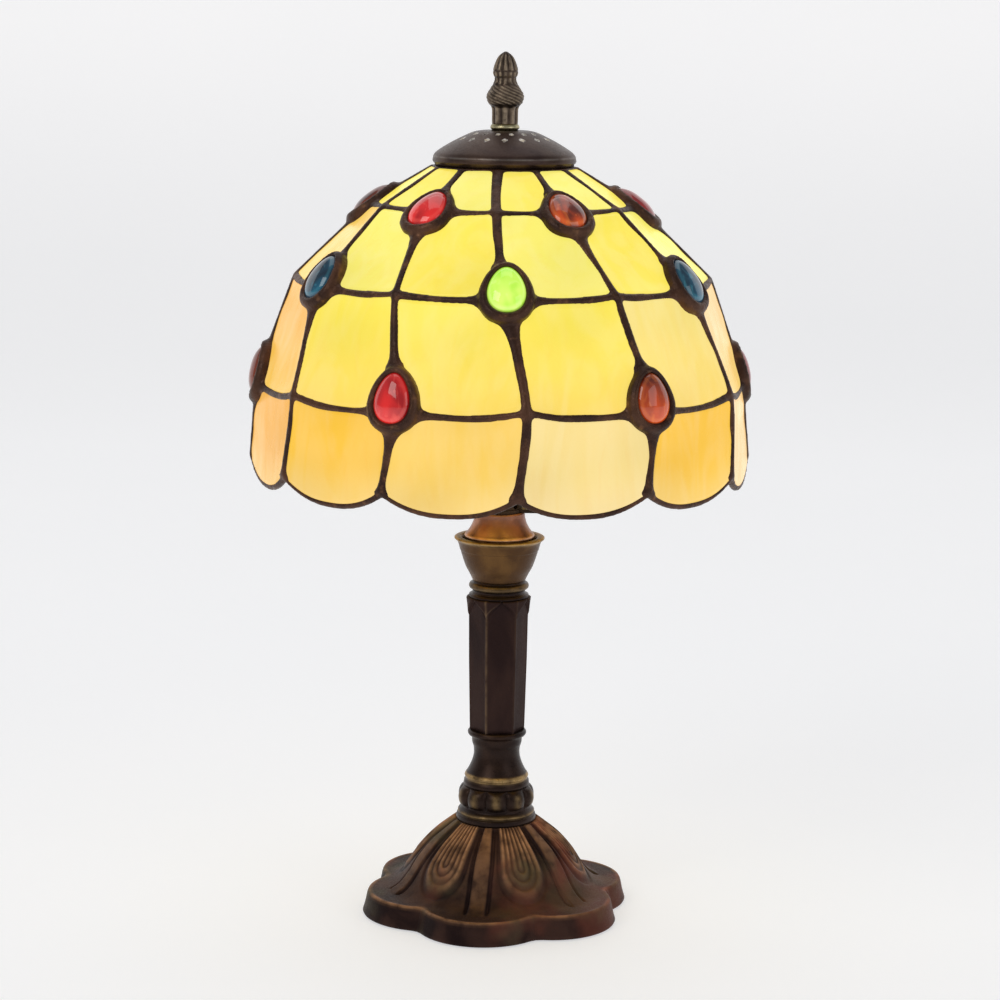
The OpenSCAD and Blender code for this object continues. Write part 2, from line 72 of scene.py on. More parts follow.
# ---------------------------------------------------------------- mesh helpers
def make_piece(name, points, faces, material, body, replaced):
    """A smooth mesh piece from points in millimetres, riding on a CAD body."""
    mesh = bpy.data.meshes.new(name)
    mesh.from_pydata((np.asarray(points, float) * MM).tolist(), [], faces)
    mesh.update()
    piece = bpy.data.objects.new(name, mesh)
    bpy.context.scene.collection.objects.link(piece)
    mesh.polygons.foreach_set("use_smooth", [True] * len(mesh.polygons))
    return finish_piece(piece, material, body, replaced)


def finish_piece(piece, material, body, replaced):
    piece.data.materials.clear()
    piece.data.materials.append(material)
    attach(piece, body)
    if replaced:
        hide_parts(*replaced)
    return piece


def set_point_values(piece, name, values):
    attribute = piece.data.attributes.new(name, "FLOAT", "POINT")
    attribute.data.foreach_set("value", np.asarray(values, np.float32))


def curve_between(a, b, c, d, t):
    """A Catmull-Rom curve from b to c, whose neighbours are a and d, at t from 0 to 1."""
    return b + 0.5 * t * (c - a + t * (2 * a - 5 * b + 4 * c - d + t * (3 * (b - c) + d - a)))


def smooth_line(points, steps):
    """A Catmull-Rom curve through points, with steps stretches between each two."""
    p = np.asarray(points, float)
    p = np.vstack([2 * p[0] - p[1], p, 2 * p[-1] - p[-2]])
    line = []
    for i in range(1, len(p) - 2):
        line += [curve_between(*p[i - 1 : i + 3], t) for t in np.arange(steps) / steps]
    line.append(p[-2])
    return np.array(line)


def grid_faces(rows, columns, close_rows=False):
    """Quads over a grid of rows by columns, whose columns go round."""
    faces = []
    for i in range(rows if close_rows else rows - 1):
        for j in range(columns):
            a, b = i * columns, ((i + 1) % rows) * columns
            k = (j + 1) % columns
            faces.append((a + j, a + k, b + k, b + j))
    return faces


def closed_tube_faces(rows, columns):
    """The faces of a tube of rows rings, with a flat face at each end."""
    last = (rows - 1) * columns
    ends = [tuple(range(columns))[::-1], tuple(range(last, last + columns))]
    return grid_faces(rows, columns) + ends


def joined(parts):
    """One list of points and one of faces from several."""
    points, faces, count = [], [], 0
    for some, own in parts:
        points.append(some)
        faces += [tuple(count + k for k in face) for face in own]
        count += len(some)
    return np.vstack(points), faces


def drop_loose(mesh):
    """Deletes points that no face uses, and turns every face outwards."""
    shape = bmesh.new()
    shape.from_mesh(mesh)
    loose = [v for v in shape.verts if not v.link_faces]
    bmesh.ops.delete(shape, geom=loose, context="VERTS")
    bmesh.ops.recalc_face_normals(shape, faces=shape.faces)
    shape.to_mesh(mesh)
    shape.free()


def apply_modifiers(piece):
    """Turns what the piece's modifiers make of it into its own mesh."""
    bpy.context.view_layer.update()
    seen = piece.evaluated_get(bpy.context.evaluated_depsgraph_get())
    mesh = bpy.data.meshes.new_from_object(seen)
    piece.modifiers.clear()
    piece.data = mesh


def smoothstep(low, high, x):
    t = np.clip((x - low) / (high - low), 0, 1)
    return t * t * (3 - 2 * t)


def ripple(x, y, seed=0.0):
    """Smooth unevenness between -1 and 1, the same in each run."""
    return (
        np.sin(1.7 * x + 2.3 * y + seed)
        + np.sin(2.9 * x - 1.3 * y + 2.1 * seed + 1)
        + np.sin(-1.1 * x + 3.7 * y + 3.3 * seed + 2)
    ) / 3


def turned(name, profile, material, body, replaced, shape=None, steps=128, wear_and_sheen=None):
    """A turned piece: its profile of (r, z) goes round the axis as a closed solid.
    shape(r, z, angle) gives the radius where it isn't round, and wear_and_sheen(r, z, angle) how
    scuffed the metal is, and on some pieces where a highlight is painted on it, from 0 to 1. The angle
    is from the front."""
    line = np.asarray(profile, float)
    angle = np.arange(steps) * FULL_TURN / steps
    r = np.repeat(line[:, :1], steps, axis=1)
    z = np.repeat(line[:, 1:], steps, axis=1)
    a = np.repeat(angle[None, :], len(line), axis=0)
    if shape is not None:
        r = shape(r, z, a)
    points = np.stack([r * np.sin(a), -r * np.cos(a), z], axis=-1).reshape(-1, 3)
    piece = make_piece(
        name, points, grid_faces(len(line), steps, close_rows=True), material, body, replaced
    )
    set_point_values(piece, "wear_and_sheen", (wear_and_sheen(r, z, a) if wear_and_sheen else np.zeros_like(r)).ravel())
    return piece


# ---------------------------------------------------------------- materials
def rgb(red, green, blue):
    """A colour given in 0-255 parts, as linear RGBA."""
    parts = [c / 255 for c in (red, green, blue)]
    return tuple(c / 12.92 if c <= 0.04045 else ((c + 0.055) / 1.055) ** 2.4 for c in parts) + (1,)


class Shader:
    """A material and its nodes. Patterns are placed in metres on the object."""

    def __init__(self, name):
        self.material = bpy.data.materials.new(name)
        self.material.use_nodes = True
        self.tree = self.material.node_tree
        self.surface = self.tree.nodes["Principled BSDF"]
        self.place = self.node("ShaderNodeTexCoord").outputs["Object"]

    def node(self, kind, **settings):
        made = self.tree.nodes.new(kind)
        for key, value in settings.items():
            setattr(made, key, value)
        return made

    def put(self, socket, value):
        """Links an output to a socket, or sets the socket's value."""
        if isinstance(value, bpy.types.NodeSocket):
            self.tree.links.new(value, socket)
        else:
            socket.default_value = value

    def set(self, **values):
        for key, value in values.items():
            self.put(self.surface.inputs[key.replace("_", " ")], value)

    def noise(self, scale, detail=4.0, stretch=(1, 1, 1), twist=0.0):
        mapping = self.node("ShaderNodeMapping")
        self.put(mapping.inputs["Vector"], self.place)
        mapping.inputs["Scale"].default_value = stretch
        texture = self.node("ShaderNodeTexNoise")
        self.put(texture.inputs["Vector"], mapping.outputs["Vector"])
        texture.inputs["Scale"].default_value = scale
        texture.inputs["Detail"].default_value = detail
        texture.inputs["Distortion"].default_value = twist
        return texture.outputs["Fac"]

    def spread(self, value, low, high, to_low=0.0, to_high=1.0):
        """Stretches low..high to to_low..to_high, and cuts off what is beyond."""
        made = self.node("ShaderNodeMapRange", interpolation_type="SMOOTHSTEP")
        self.put(made.inputs["Value"], value)
        limits = {"From Min": low, "From Max": high, "To Min": to_low, "To Max": to_high}
        for key, number in limits.items():
            made.inputs[key].default_value = number
        return made.outputs["Result"]

    def maths(self, operation, a, b):
        made = self.node("ShaderNodeMath", operation=operation)
        self.put(made.inputs[0], a)
        self.put(made.inputs[1], b)
        return made.outputs[0]

    def mix(self, factor, a, b):
        made = self.node("ShaderNodeMix", data_type="RGBA")
        self.put(made.inputs[0], factor)
        self.put(made.inputs[6], a)
        self.put(made.inputs[7], b)
        return made.outputs[2]

    def value(self, name):
        return self.node("ShaderNodeAttribute", attribute_name=name).outputs["Fac"]

    def colour(self, name):
        return self.node("ShaderNodeAttribute", attribute_name=name).outputs["Color"]

    def bump(self, height, depth_mm, strength=0.6):
        made = self.node("ShaderNodeBump")
        made.inputs["Strength"].default_value = strength
        made.inputs["Distance"].default_value = depth_mm * MM
        self.put(made.inputs["Height"], height)
        self.put(self.surface.inputs["Normal"], made.outputs["Normal"])


def metal(
    name, dark, light, worn_and_sheen=None, *, roughness, metallic, cloud, grain, depth,
    streak=(1, 1, 1), patches=(), gloss=0.3,
):
    """A material with clouds of two colours, scuffed ridges and painted highlights in a third colour
    where wear_and_sheen is high, patches of other colours and a fine grain. cloud and grain are noise
    scales, and depth is the grain's, in millimetres."""
    s = Shader(name)
    clouds = s.spread(s.noise(cloud, 5, streak, 0.4), 0.35, 0.68)
    colour = s.mix(clouds, dark, light)
    if worn_and_sheen:
        # wear_and_sheen gives the third colour both to scuffed high points and to painted highlights.
        rub_and_sheen = s.maths("MULTIPLY", s.value("wear_and_sheen"), s.spread(s.noise(cloud * 4, 4), 0.1, 0.7))
        for i, patch in enumerate(patches):
            spots = s.spread(s.noise(30 + 11 * i, 3), 0.5, 0.66)
            worn_and_sheen = s.mix(s.maths("MULTIPLY", spots, 0.8), worn_and_sheen, patch)
            colour = s.mix(s.maths("MULTIPLY", spots, 0.2), colour, patch)
        colour = s.mix(rub_and_sheen, colour, worn_and_sheen)
    fine = s.noise(grain, 6)
    s.set(Base_Color=colour, Metallic=metallic, Specular_IOR_Level=gloss)
    s.set(Roughness=s.spread(fine, 0.3, 0.7, *roughness))
    s.bump(s.maths("ADD", fine, s.noise(cloud * 5, 3)), depth)
    return s.material


bronze = metal(
    "antique bronze", rgb(34, 23, 23), rgb(66, 46, 40), rgb(208, 156, 114),
    roughness=(0.42, 0.6), metallic=0.35, cloud=55, grain=1400, depth=0.08,
    patches=(rgb(164, 88, 68), rgb(110, 102, 72)), gloss=0.06,
)
relief_bronze = metal(
    "gadroon bronze", rgb(34, 24, 22), rgb(56, 40, 32), rgb(176, 146, 98),
    roughness=(0.26, 0.44), metallic=0.6, cloud=60, grain=1400, depth=0.08, gloss=0.2,
)
bronze_plain = metal(
    "dark bronze", rgb(42, 29, 29), rgb(60, 43, 39), rgb(124, 102, 80),
    roughness=(0.5, 0.66), metallic=0.2, cloud=60, grain=1600, depth=0.08, streak=(1, 1, 0.4),
    gloss=0.06,
)
cup_bronze = metal(
    "olive bronze", rgb(78, 54, 33), rgb(108, 78, 44), rgb(182, 150, 100),
    roughness=(0.3, 0.48), metallic=0.75, cloud=70, grain=1600, depth=0.08,
)
copper = metal(
    "copper", rgb(136, 94, 78), rgb(204, 150, 120), rgb(226, 182, 148),
    roughness=(0.3, 0.42), metallic=0.8, cloud=60, grain=900, depth=0.008,
)
# Its near-white third colour is painted light: round the vents, and a painted highlight line on the
# lip.
cap_metal = metal(
    "cap bronze", rgb(58, 42, 38), rgb(82, 64, 54), rgb(255, 250, 240),
    roughness=(0.3, 0.46), metallic=0.7, cloud=50, grain=1500, depth=0.08,
)
# Brass darkened as painted shade, for the parts under the glass shade.
shade_darkened_brass = metal(
    "aged brass", rgb(40, 30, 22), rgb(66, 50, 35),
    roughness=(0.35, 0.55), metallic=0.7, cloud=70, grain=1500, depth=0.06,
)
brass = metal(
    "brass", rgb(176, 132, 66), rgb(212, 172, 98), rgb(240, 210, 140),
    roughness=(0.24, 0.42), metallic=0.95, cloud=70, grain=1500, depth=0.06,
)
washer_brass = metal(
    "washer brass", rgb(128, 120, 88), rgb(164, 154, 116), rgb(206, 196, 156),
    roughness=(0.26, 0.42), metallic=0.9, cloud=90, grain=1800, depth=0.05,
)
finial_bronze = metal(
    "finial bronze", rgb(48, 38, 33), rgb(88, 73, 62), rgb(160, 142, 120),
    roughness=(0.28, 0.46), metallic=0.8, cloud=140, grain=2200, depth=0.06,
)
zinc = metal(
    "zinc plated steel", rgb(150, 152, 152), rgb(190, 192, 190),
    roughness=(0.3, 0.5), metallic=0.95, cloud=80, grain=1500, depth=0.05,
)
bulb_metal = metal(
    "bulb cap metal", rgb(168, 168, 164), rgb(206, 206, 200),
    roughness=(0.22, 0.38), metallic=0.95, cloud=90, grain=1500, depth=0.04,
)
phenolic = metal(
    "phenolic", rgb(30, 24, 22), rgb(44, 36, 32),
    roughness=(0.4, 0.55), metallic=0.0, cloud=90, grain=1500, depth=0.05,
)
plastic = metal(
    "black plastic", rgb(22, 22, 22), rgb(34, 34, 34),
    roughness=(0.38, 0.52), metallic=0.0, cloud=90, grain=1800, depth=0.05,
)
paper = metal(
    "paper liner", rgb(156, 128, 92), rgb(188, 160, 120),
    roughness=(0.75, 0.9), metallic=0.0, cloud=70, grain=2500, depth=0.1, streak=(1, 1, 3),
)
felt = metal(
    "felt", rgb(34, 44, 36), rgb(48, 60, 48),
    roughness=(0.9, 1.0), metallic=0.0, cloud=120, grain=3500, depth=0.3,
)


def make_solder():
    s = Shader("patinated solder")
    clouds = s.spread(s.noise(75, 5, twist=0.5), 0.38, 0.68)
    colour = s.mix(clouds, rgb(56, 34, 24), rgb(92, 60, 42))
    glints = s.spread(s.noise(260, 4), 0.56, 0.74)
    colour = s.mix(s.maths("MULTIPLY", glints, 0.5), colour, rgb(136, 94, 62))
    s.set(Base_Color=colour, Metallic=0.4, Specular_IOR_Level=0.3)
    s.set(Roughness=s.spread(s.noise(500, 5), 0.3, 0.7, 0.3, 0.52))
    s.bump(s.maths("ADD", s.noise(300, 4), s.noise(1100, 3)), 0.3)
    return s.material


def make_glass(name, glow):
    """Opalescent sheet glass lit by the bulb behind it, its glow painted as emission: tone_and_light
    is each pane's own colour, with painted light and shade in it.
    """
    s = Shader(name)
    streaks = s.spread(s.noise(26, 5, (2.4, 2.4, 0.55), 1.6), 0.36, 0.66)
    wisps = s.spread(s.noise(90, 5, (2, 2, 0.6), 1.0), 0.45, 0.75)
    tone_and_light = s.colour("tone_and_light")
    colour = s.mix(s.maths("MULTIPLY", streaks, 0.08), tone_and_light, rgb(255, 250, 220))
    colour = s.mix(s.maths("MULTIPLY", wisps, 0.06), colour, rgb(240, 168, 60))
    s.set(Base_Color=s.mix(0.75, colour, rgb(20, 12, 2)))
    s.set(Roughness=s.spread(s.noise(60, 3), 0.3, 0.7, 0.16, 0.32))
    # Painted light: the lit glass glows as emission.
    s.set(Emission_Color=colour, Emission_Strength=glow, Specular_IOR_Level=0.22)
    seeds = s.maths("MULTIPLY", s.noise(420, 3), 0.12)
    s.bump(s.maths("ADD", s.noise(70, 2, (1, 1, 0.6)), seeds), 0.9, 0.45)
    return s.material


def make_jewel(name, deep, bright, rim, glow):
    """A pressed glass cabochon, its glow from the bulb painted as emission. Its edge value is 1 at the
    bezel, its high value 1 at the narrow end, the top, which is darkened as painted shade, and its
    side_shade value 1 all over for a jewel darkened as painted shade."""
    s = Shader(name)
    edge = s.value("edge")
    swirl = s.spread(s.noise(110, 1.5, (1, 1, 0.55), 0.6), 0.3, 0.66)
    colour = s.mix(swirl, deep, bright)
    flecks = s.spread(s.noise(240, 2, (1, 1, 0.4), 1.2), 0.56, 0.7)
    colour = s.mix(s.maths("MULTIPLY", flecks, 0.4), colour, rim)
    # Painted reflection: a lighter ring just inside the bezel.
    painted_halo = s.maths("MULTIPLY", s.spread(edge, 0.74, 0.84), s.spread(edge, 0.94, 0.87))
    colour = s.mix(s.maths("MULTIPLY", painted_halo, 0.3), colour, rim)
    # Painted shade: darker towards the jewel's top, where the high value is 1.
    colour = s.mix(s.maths("MULTIPLY", s.value("high"), 0.6), colour, deep)
    colour = s.mix(s.maths("MULTIPLY", s.spread(edge, 0.9, 1.0), 0.75), colour, rgb(30, 12, 10))
    # Painted shade: the jewels at the shade's sides are darker.
    colour = s.mix(s.maths("MULTIPLY", s.value("side_shade"), 0.7), colour, rgb(44, 12, 14))
    s.set(Base_Color=s.mix(0.7, colour, rgb(6, 4, 4)))
    s.set(Roughness=s.spread(s.noise(240, 3), 0.3, 0.7, 0.05, 0.14))
    # Painted light: the jewel's glow from the bulb, as emission.
    s.set(Emission_Color=colour, Emission_Strength=glow, Coat_Weight=0.7, Coat_Roughness=0.04)
    s.bump(s.noise(170, 2), 0.5, 0.35)
    return s.material


def make_bulb():
    s = Shader("frosted bulb glass")
    frost = s.spread(s.noise(60, 4), 0.3, 0.7)
    colour = s.mix(frost, rgb(255, 226, 170), rgb(255, 240, 206))
    s.set(Base_Color=colour, Roughness=s.spread(s.noise(900, 3), 0.3, 0.7, 0.3, 0.45))
    s.set(Emission_Color=colour, Emission_Strength=2.2)
    s.bump(s.noise(1500, 3), 0.03)
    return s.material


GLOW = 0.9
solder = make_solder()
glass = [make_glass(f"sheet glass row {row}", GLOW) for row in range(4)]
jewel_red = make_jewel("jewel red", rgb(150, 8, 14), rgb(228, 38, 36), rgb(246, 92, 80), 0.85)
jewel_amber = make_jewel("jewel amber", rgb(66, 16, 4), rgb(204, 74, 18), rgb(232, 122, 50), 0.85)
jewel_green = make_jewel(
    "jewel green", rgb(158, 224, 44), rgb(222, 250, 116), rgb(240, 254, 160), 0.98
)
jewel_blue = make_jewel("jewel blue", rgb(4, 34, 52), rgb(18, 98, 128), rgb(76, 168, 190), 0.5)
bulb_glass = make_bulb()


# ---------------------------------------------------------------- shade: its shape
COLUMNS = 12
COLUMN_STEP = math.radians(30)
RING_R = np.array([28.3, 52.3, 82.5, 97.5, 99.9])
RING_Z = np.array([306, 291.7, 262.6, 222, 190])
RING_SWAY = np.radians([-5, -3, 1, 5.5, 3.7])
RING_SAG = np.array([0.0, 0.8, 1.6, 3.0, 7.5])
SAG_POWER = 2.4
GLASS_T = 2.6
SEAM_HALF_W = 2.05
RING_HALF_W = 1.85
SOLDER_HALF_T = 1.95
JEWEL_W, JEWEL_L = 14.0, 19.0
JEWEL_TOP, JEWEL_EDGE = 4.7, 1.2
JEWEL_BACK = 1.6
UNDER_BEZEL = 0.45
JEWEL_RISE = [0, 0.4, 3.3, 3.5]
UPPER_SHARE = 0.6
BEZEL_W = 3.2
EGG_TAPER = 0.2


def extended(values):
    return np.concatenate([[2 * values[0] - values[1]], values, [2 * values[-1] - values[-2]]])


def sway_at(s):
    """The seams' turn at a place down the shade, 0 at the crown to 4 at the rim."""
    i = np.clip(np.floor(s).astype(int), 0, 3)
    t = s - i
    return curve_between(*(extended(RING_SWAY)[i + k] for k in range(4)), t)


def seam_point(seam, s):
    s = np.asarray(s, float)
    angle = sway_at(s) + COLUMN_STEP * seam
    r = np.interp(s, range(5), RING_R)
    return np.stack([r * np.sin(angle), -r * np.cos(angle), np.interp(s, range(5), RING_Z)], axis=-1)


def row_slope(row):
    flat = math.cos(COLUMN_STEP / 2) * (RING_R[row + 1] - RING_R[row])
    return math.atan2(RING_Z[row] - RING_Z[row + 1], flat)


def ring_slope(ring):
    rows = [row for row in (ring - 1, ring) if 0 <= row < 4]
    return sum(row_slope(row) for row in rows) / len(rows)


def down_at(angle, slope):
    """Downhill and outward unit vectors on the shade, at an angle from the front."""
    out = np.array([math.sin(angle), -math.cos(angle), 0])
    down = math.cos(slope) * out - math.sin(slope) * np.array([0, 0, 1.0])
    normal = math.sin(slope) * out + math.cos(slope) * np.array([0, 0, 1.0])
    return down, normal


def hang(t):
    return 1 - np.abs(t) ** SAG_POWER


def ring_drop(ring, column):
    middle = sway_at(np.array([float(ring)]))[0] + COLUMN_STEP * (column + 0.5)
    return down_at(middle, ring_slope(ring))[0] * RING_SAG[ring]


def pane_point(row, column, u, v):
    """A point of a pane: u is -1 to 1 from its left seam to its right one, v 0 to 1 downwards."""
    left, right = seam_point(column, row + v), seam_point(column + 1, row + v)
    drop = ring_drop(row, column) * (1 - v)[..., None] + ring_drop(row + 1, column) * v[..., None]
    return left + (right - left) * ((u + 1) / 2)[..., None] + drop * hang(u)[..., None]


def crossing(ring, seam):
    """The frame of a crossing: its origin, and its across, uphill and outward directions."""
    angle = RING_SWAY[ring] + COLUMN_STEP * seam
    slope = UPPER_SHARE * row_slope(ring - 1) + (1 - UPPER_SHARE) * row_slope(ring)
    down, normal = down_at(angle, slope)
    origin = seam_point(seam, float(ring)) - down * JEWEL_RISE[ring]
    return origin, np.array([math.cos(angle), math.sin(angle), 0]), -down, normal


def has_jewel(ring, seam):
    return 0 < ring < 4 and (ring + seam) % 2 == 0


def egg(grow, a):
    x = -(JEWEL_W / 2 + grow) * np.sin(a) * (1 - EGG_TAPER * np.cos(a))
    return x, (JEWEL_L / 2 + grow) * np.cos(a)


def egg_level(x, y, grow):
    """1 on the egg's outline, less inside it and more outside."""
    half_l = JEWEL_L / 2 + grow
    c = np.clip(y / half_l, -1, 1)
    flank = (JEWEL_W / 2 + grow) * (1 - EGG_TAPER * c)
    return np.sqrt((x / flank) ** 2 + (y / half_l) ** 2)


# ---------------------------------------------------------------- shade: glass
U_STEPS, V_STEPS = 26, 22
PANE_HALF_U = 0.97
PANE_TOP_V, PANE_FOOT_V = 0.022, 0.978
JEWEL_CLEAR = 0.6
TONES = {
    "yellow": (254, 234, 88), "lemon": (251, 240, 110), "straw": (251, 228, 128),
    "cream": (250, 222, 142), "honey": (252, 208, 96), "orange": (252, 196, 62),
    "apricot": (240, 172, 62), "blush": (240, 194, 122),
}
# The warmer tones at the shade's sides, columns 2, 3, 8 and 9, are partly painted shade; the rest is
# each sheet's own tone.
ROW_TONES_AND_SIDE_SHADE = [
    "yellow lemon yellow yellow lemon yellow yellow yellow lemon yellow yellow lemon",
    "lemon yellow lemon yellow lemon yellow yellow lemon yellow honey lemon yellow",
    "yellow straw blush honey yellow honey yellow yellow honey apricot yellow yellow",
    "cream orange blush orange honey orange cream orange honey apricot orange honey",
]
GLOW_LOW = np.array([253, 212, 100])
GLOW_RIM = np.array([255, 228, 176])


def pane_tone_and_light(row, column, points, v):
    """Linear colours of a pane's points: its own tone, warmer lower down and paler at the rim, and
    dimmer towards the crown and the rim as painted light from the bulb.
    """
    colour = np.array(TONES[ROW_TONES_AND_SIDE_SHADE[row].split()[column]], float)
    cloud = 0.5 + 0.5 * ripple(0.05 * points[..., 0] + column, 0.05 * points[..., 2] + row, column)
    low = {0: 0.0, 1: 0.1, 2: 0.75, 3: 0.1}[row] * v ** 1.5
    rim = 0.35 * smoothstep(0.55, 1.0, v) if row == 3 else 0 * v
    mixed = colour + (GLOW_LOW - colour) * low[..., None]
    mixed = mixed + (GLOW_RIM - mixed) * (rim + 0.06 * cloud)[..., None]
    linear = (mixed / 255) ** 2.2
    # Painted light: dimmer towards the crown and the rim, away from the bulb.
    light = (0.88 + 0.12 * cloud) * np.interp(row + v, [0, 0.5, 2.6, 4], [0.94, 1.0, 1.0, 0.94])
    return linear * light[..., None]


def make_pane(row, column):
    """Points, quads and colours with painted light of one pane of glass, cut round the jewels at its
    corners.
    """
    u = np.linspace(-1, 1, U_STEPS + 1) * PANE_HALF_U
    v = np.linspace(PANE_TOP_V, PANE_FOOT_V, V_STEPS + 1)
    uu, vv = np.meshgrid(u, v)
    middle = pane_point(row, column, uu, vv)
    cut = np.full(uu.shape, 9.0)
    for ring in (row, row + 1):
        for seam in (column, column + 1):
            if not has_jewel(ring, seam):
                continue
            origin, across, up, normal = crossing(ring, seam)
            local = middle - origin
            x, y, z = local @ across, local @ up, local @ normal
            level = egg_level(x, y, JEWEL_CLEAR)
            cut = np.minimum(cut, level)
            near = (level > 0.6) & (level < 1)
            grow = np.where(near, 1 / np.maximum(level, 0.01), 1)[..., None]
            spread = x[..., None] * across + y[..., None] * up + z[..., None] * normal
            middle = origin + spread * grow
    kept = []
    n = U_STEPS + 1
    flat = cut.ravel()
    for j in range(V_STEPS):
        for i in range(U_STEPS):
            quad = (j * n + i, (j + 1) * n + i, (j + 1) * n + i + 1, j * n + i + 1)
            if max(flat[k] for k in quad) >= 1 and min(flat[k] for k in quad) > 0.6:
                kept.append(quad)
    across = np.gradient(middle, axis=1)
    down = np.gradient(middle, axis=0)
    normal = np.cross(down, across)
    normal /= np.linalg.norm(normal, axis=-1, keepdims=True)
    wave = 0.22 * ripple(0.11 * middle[..., 0] + row, 0.13 * middle[..., 2], column)
    outer = middle + normal * (GLASS_T / 2 + wave)[..., None]
    inner = middle + normal * (wave - GLASS_T / 2)[..., None]
    tone_and_light = pane_tone_and_light(row, column, middle, vv)
    return outer.reshape(-1, 3), inner.reshape(-1, 3), kept, tone_and_light.reshape(-1, 3)


def make_glass_row(row, node):
    points, faces, tones_and_light = [], [], []
    for column in range(COLUMNS):
        outer, inner, quads, tone_and_light = make_pane(row, column)
        start, back = len(points), len(points) + len(outer)
        points += outer.tolist() + inner.tolist()
        tones_and_light += tone_and_light.tolist() * 2
        faces += [tuple(start + k for k in quad) for quad in quads]
        faces += [tuple(back + k for k in reversed(quad)) for quad in quads]
        sides = {(quad[k], quad[(k + 1) % 4]) for quad in quads for k in range(4)}
        rims = [(a, b) for a, b in sorted(sides) if (b, a) not in sides]
        faces += [(start + b, start + a, back + a, back + b) for a, b in rims]
    piece = make_piece(node + "_panes", points, faces, glass[row], "shade", (node,))
    attribute = piece.data.attributes.new("tone_and_light", "FLOAT_COLOR", "POINT")
    four = np.ones((len(tones_and_light), 4), np.float32)
    four[:, :3] = tones_and_light
    attribute.data.foreach_set("color", four.ravel())
    drop_loose(piece.data)


make_glass_row(0, "glass_crown")
make_glass_row(1, "glass_shoulder")
make_glass_row(2, "glass_body")
make_glass_row(3, "glass_skirt")


# ---------------------------------------------------------------- shade: solder
def tube_mesh(path, outward, half_w, half_t, sides=10):
    """An elliptical tube with closed ends. half_w and half_t are its half axes along the path."""
    path = np.asarray(path, float)
    ahead = np.gradient(path, axis=0)
    ahead /= np.linalg.norm(ahead, axis=1, keepdims=True)
    outward = outward - (outward * ahead).sum(1, keepdims=True) * ahead
    outward /= np.linalg.norm(outward, axis=1, keepdims=True)
    side = np.cross(ahead, outward)
    a = np.arange(sides) * FULL_TURN / sides
    w, t = np.broadcast_to(half_w, len(path)), np.broadcast_to(half_t, len(path))
    points = (
        path[:, None]
        + side[:, None] * (np.cos(a)[None] * w[:, None])[..., None]
        + outward[:, None] * (np.sin(a)[None] * t[:, None])[..., None]
    ).reshape(-1, 3)
    return points, closed_tube_faces(len(path), sides)


def shade_normal(points, slopes):
    out = points * [1, 1, 0]
    out /= np.linalg.norm(out, axis=1, keepdims=True)
    return np.sin(slopes)[:, None] * out + np.cos(slopes)[:, None] * np.array([0, 0, 1.0])


SLOPES = np.array([ring_slope(ring) for ring in range(5)])
RING_W_SHARES = [0.6, 1, 1, 1, 0.75]
RIM_T_SHARE = 0.85
WEB_SWELL = 2.3
WEB_REACH, SHORT_WEB_REACH = 3.4, 1.7


def swelling(distance, reach):
    """How much a line widens as it comes up to a bezel, from its reach away."""
    return WEB_SWELL * np.exp(-np.maximum(distance, 0) / reach)


def seam_tube(seam):
    s = np.linspace(0, 4, 97)
    path = seam_point(seam, s)
    width = SEAM_HALF_W * (1 + 0.16 * ripple(2.1 * s, seam * 1.7, seam))
    width = width + (0.5 if seam % 6 == 0 else 0) * (1 - s / 5) + 1.8 * np.exp((s - 4) / 0.06)
    for ring in (1, 2, 3):
        if has_jewel(ring, seam):
            run = np.linalg.norm(path - crossing(ring, seam)[0], axis=1)
            reach = np.where(s > ring, WEB_REACH, SHORT_WEB_REACH)
            width = width + swelling(run - JEWEL_L / 2 - BEZEL_W, reach)
    return tube_mesh(path, shade_normal(path, np.interp(s, range(5), SLOPES)), width, SOLDER_HALF_T)


def ring_tube(ring, column):
    u = np.linspace(-1, 1, 33)
    path = pane_point(min(ring, 3), column, u, np.full_like(u, 0.0 if ring < 4 else 1.0))
    width = RING_HALF_W * (1 + 0.16 * ripple(1.9 * u, ring * 1.3 + column, column))
    width = width * RING_W_SHARES[ring]
    for seam in (column, column + 1):
        if has_jewel(ring, seam):
            run = np.linalg.norm(path - seam_point(seam, float(ring)), axis=1)
            width = width + swelling(run - JEWEL_W / 2 - BEZEL_W, SHORT_WEB_REACH)
    half_t = SOLDER_HALF_T * (RIM_T_SHARE if ring == 4 else 1)
    return tube_mesh(path, shade_normal(path, np.full(len(u), SLOPES[ring])), width, half_t)


def bezel_mesh(ring, seam):
    """The solder ring round a jewel: a section with a sloping outer side and a rounded top."""
    origin, across, up, normal = crossing(ring, seam)
    section = [(0.1, -3.6), (0.1, 1.5), (0.8, 2.6), (1.6, 2.8), (2.5, 2.2)]
    section += [(BEZEL_W + 0.3, 0.8), (BEZEL_W, -3.2)]
    a = np.arange(40) * FULL_TURN / 40
    points = []
    for grow, high in section:
        x, y = egg(grow - (0.5 * np.cos(a) if grow > 1 else 0), a)
        lift = high + 0.12 * np.sin(3 * a + seam)
        points.append(origin + x[:, None] * across + y[:, None] * up + lift[:, None] * normal)
    return np.vstack(points), grid_faces(len(section), len(a), close_rows=True)


VOXEL_MM = 0.8


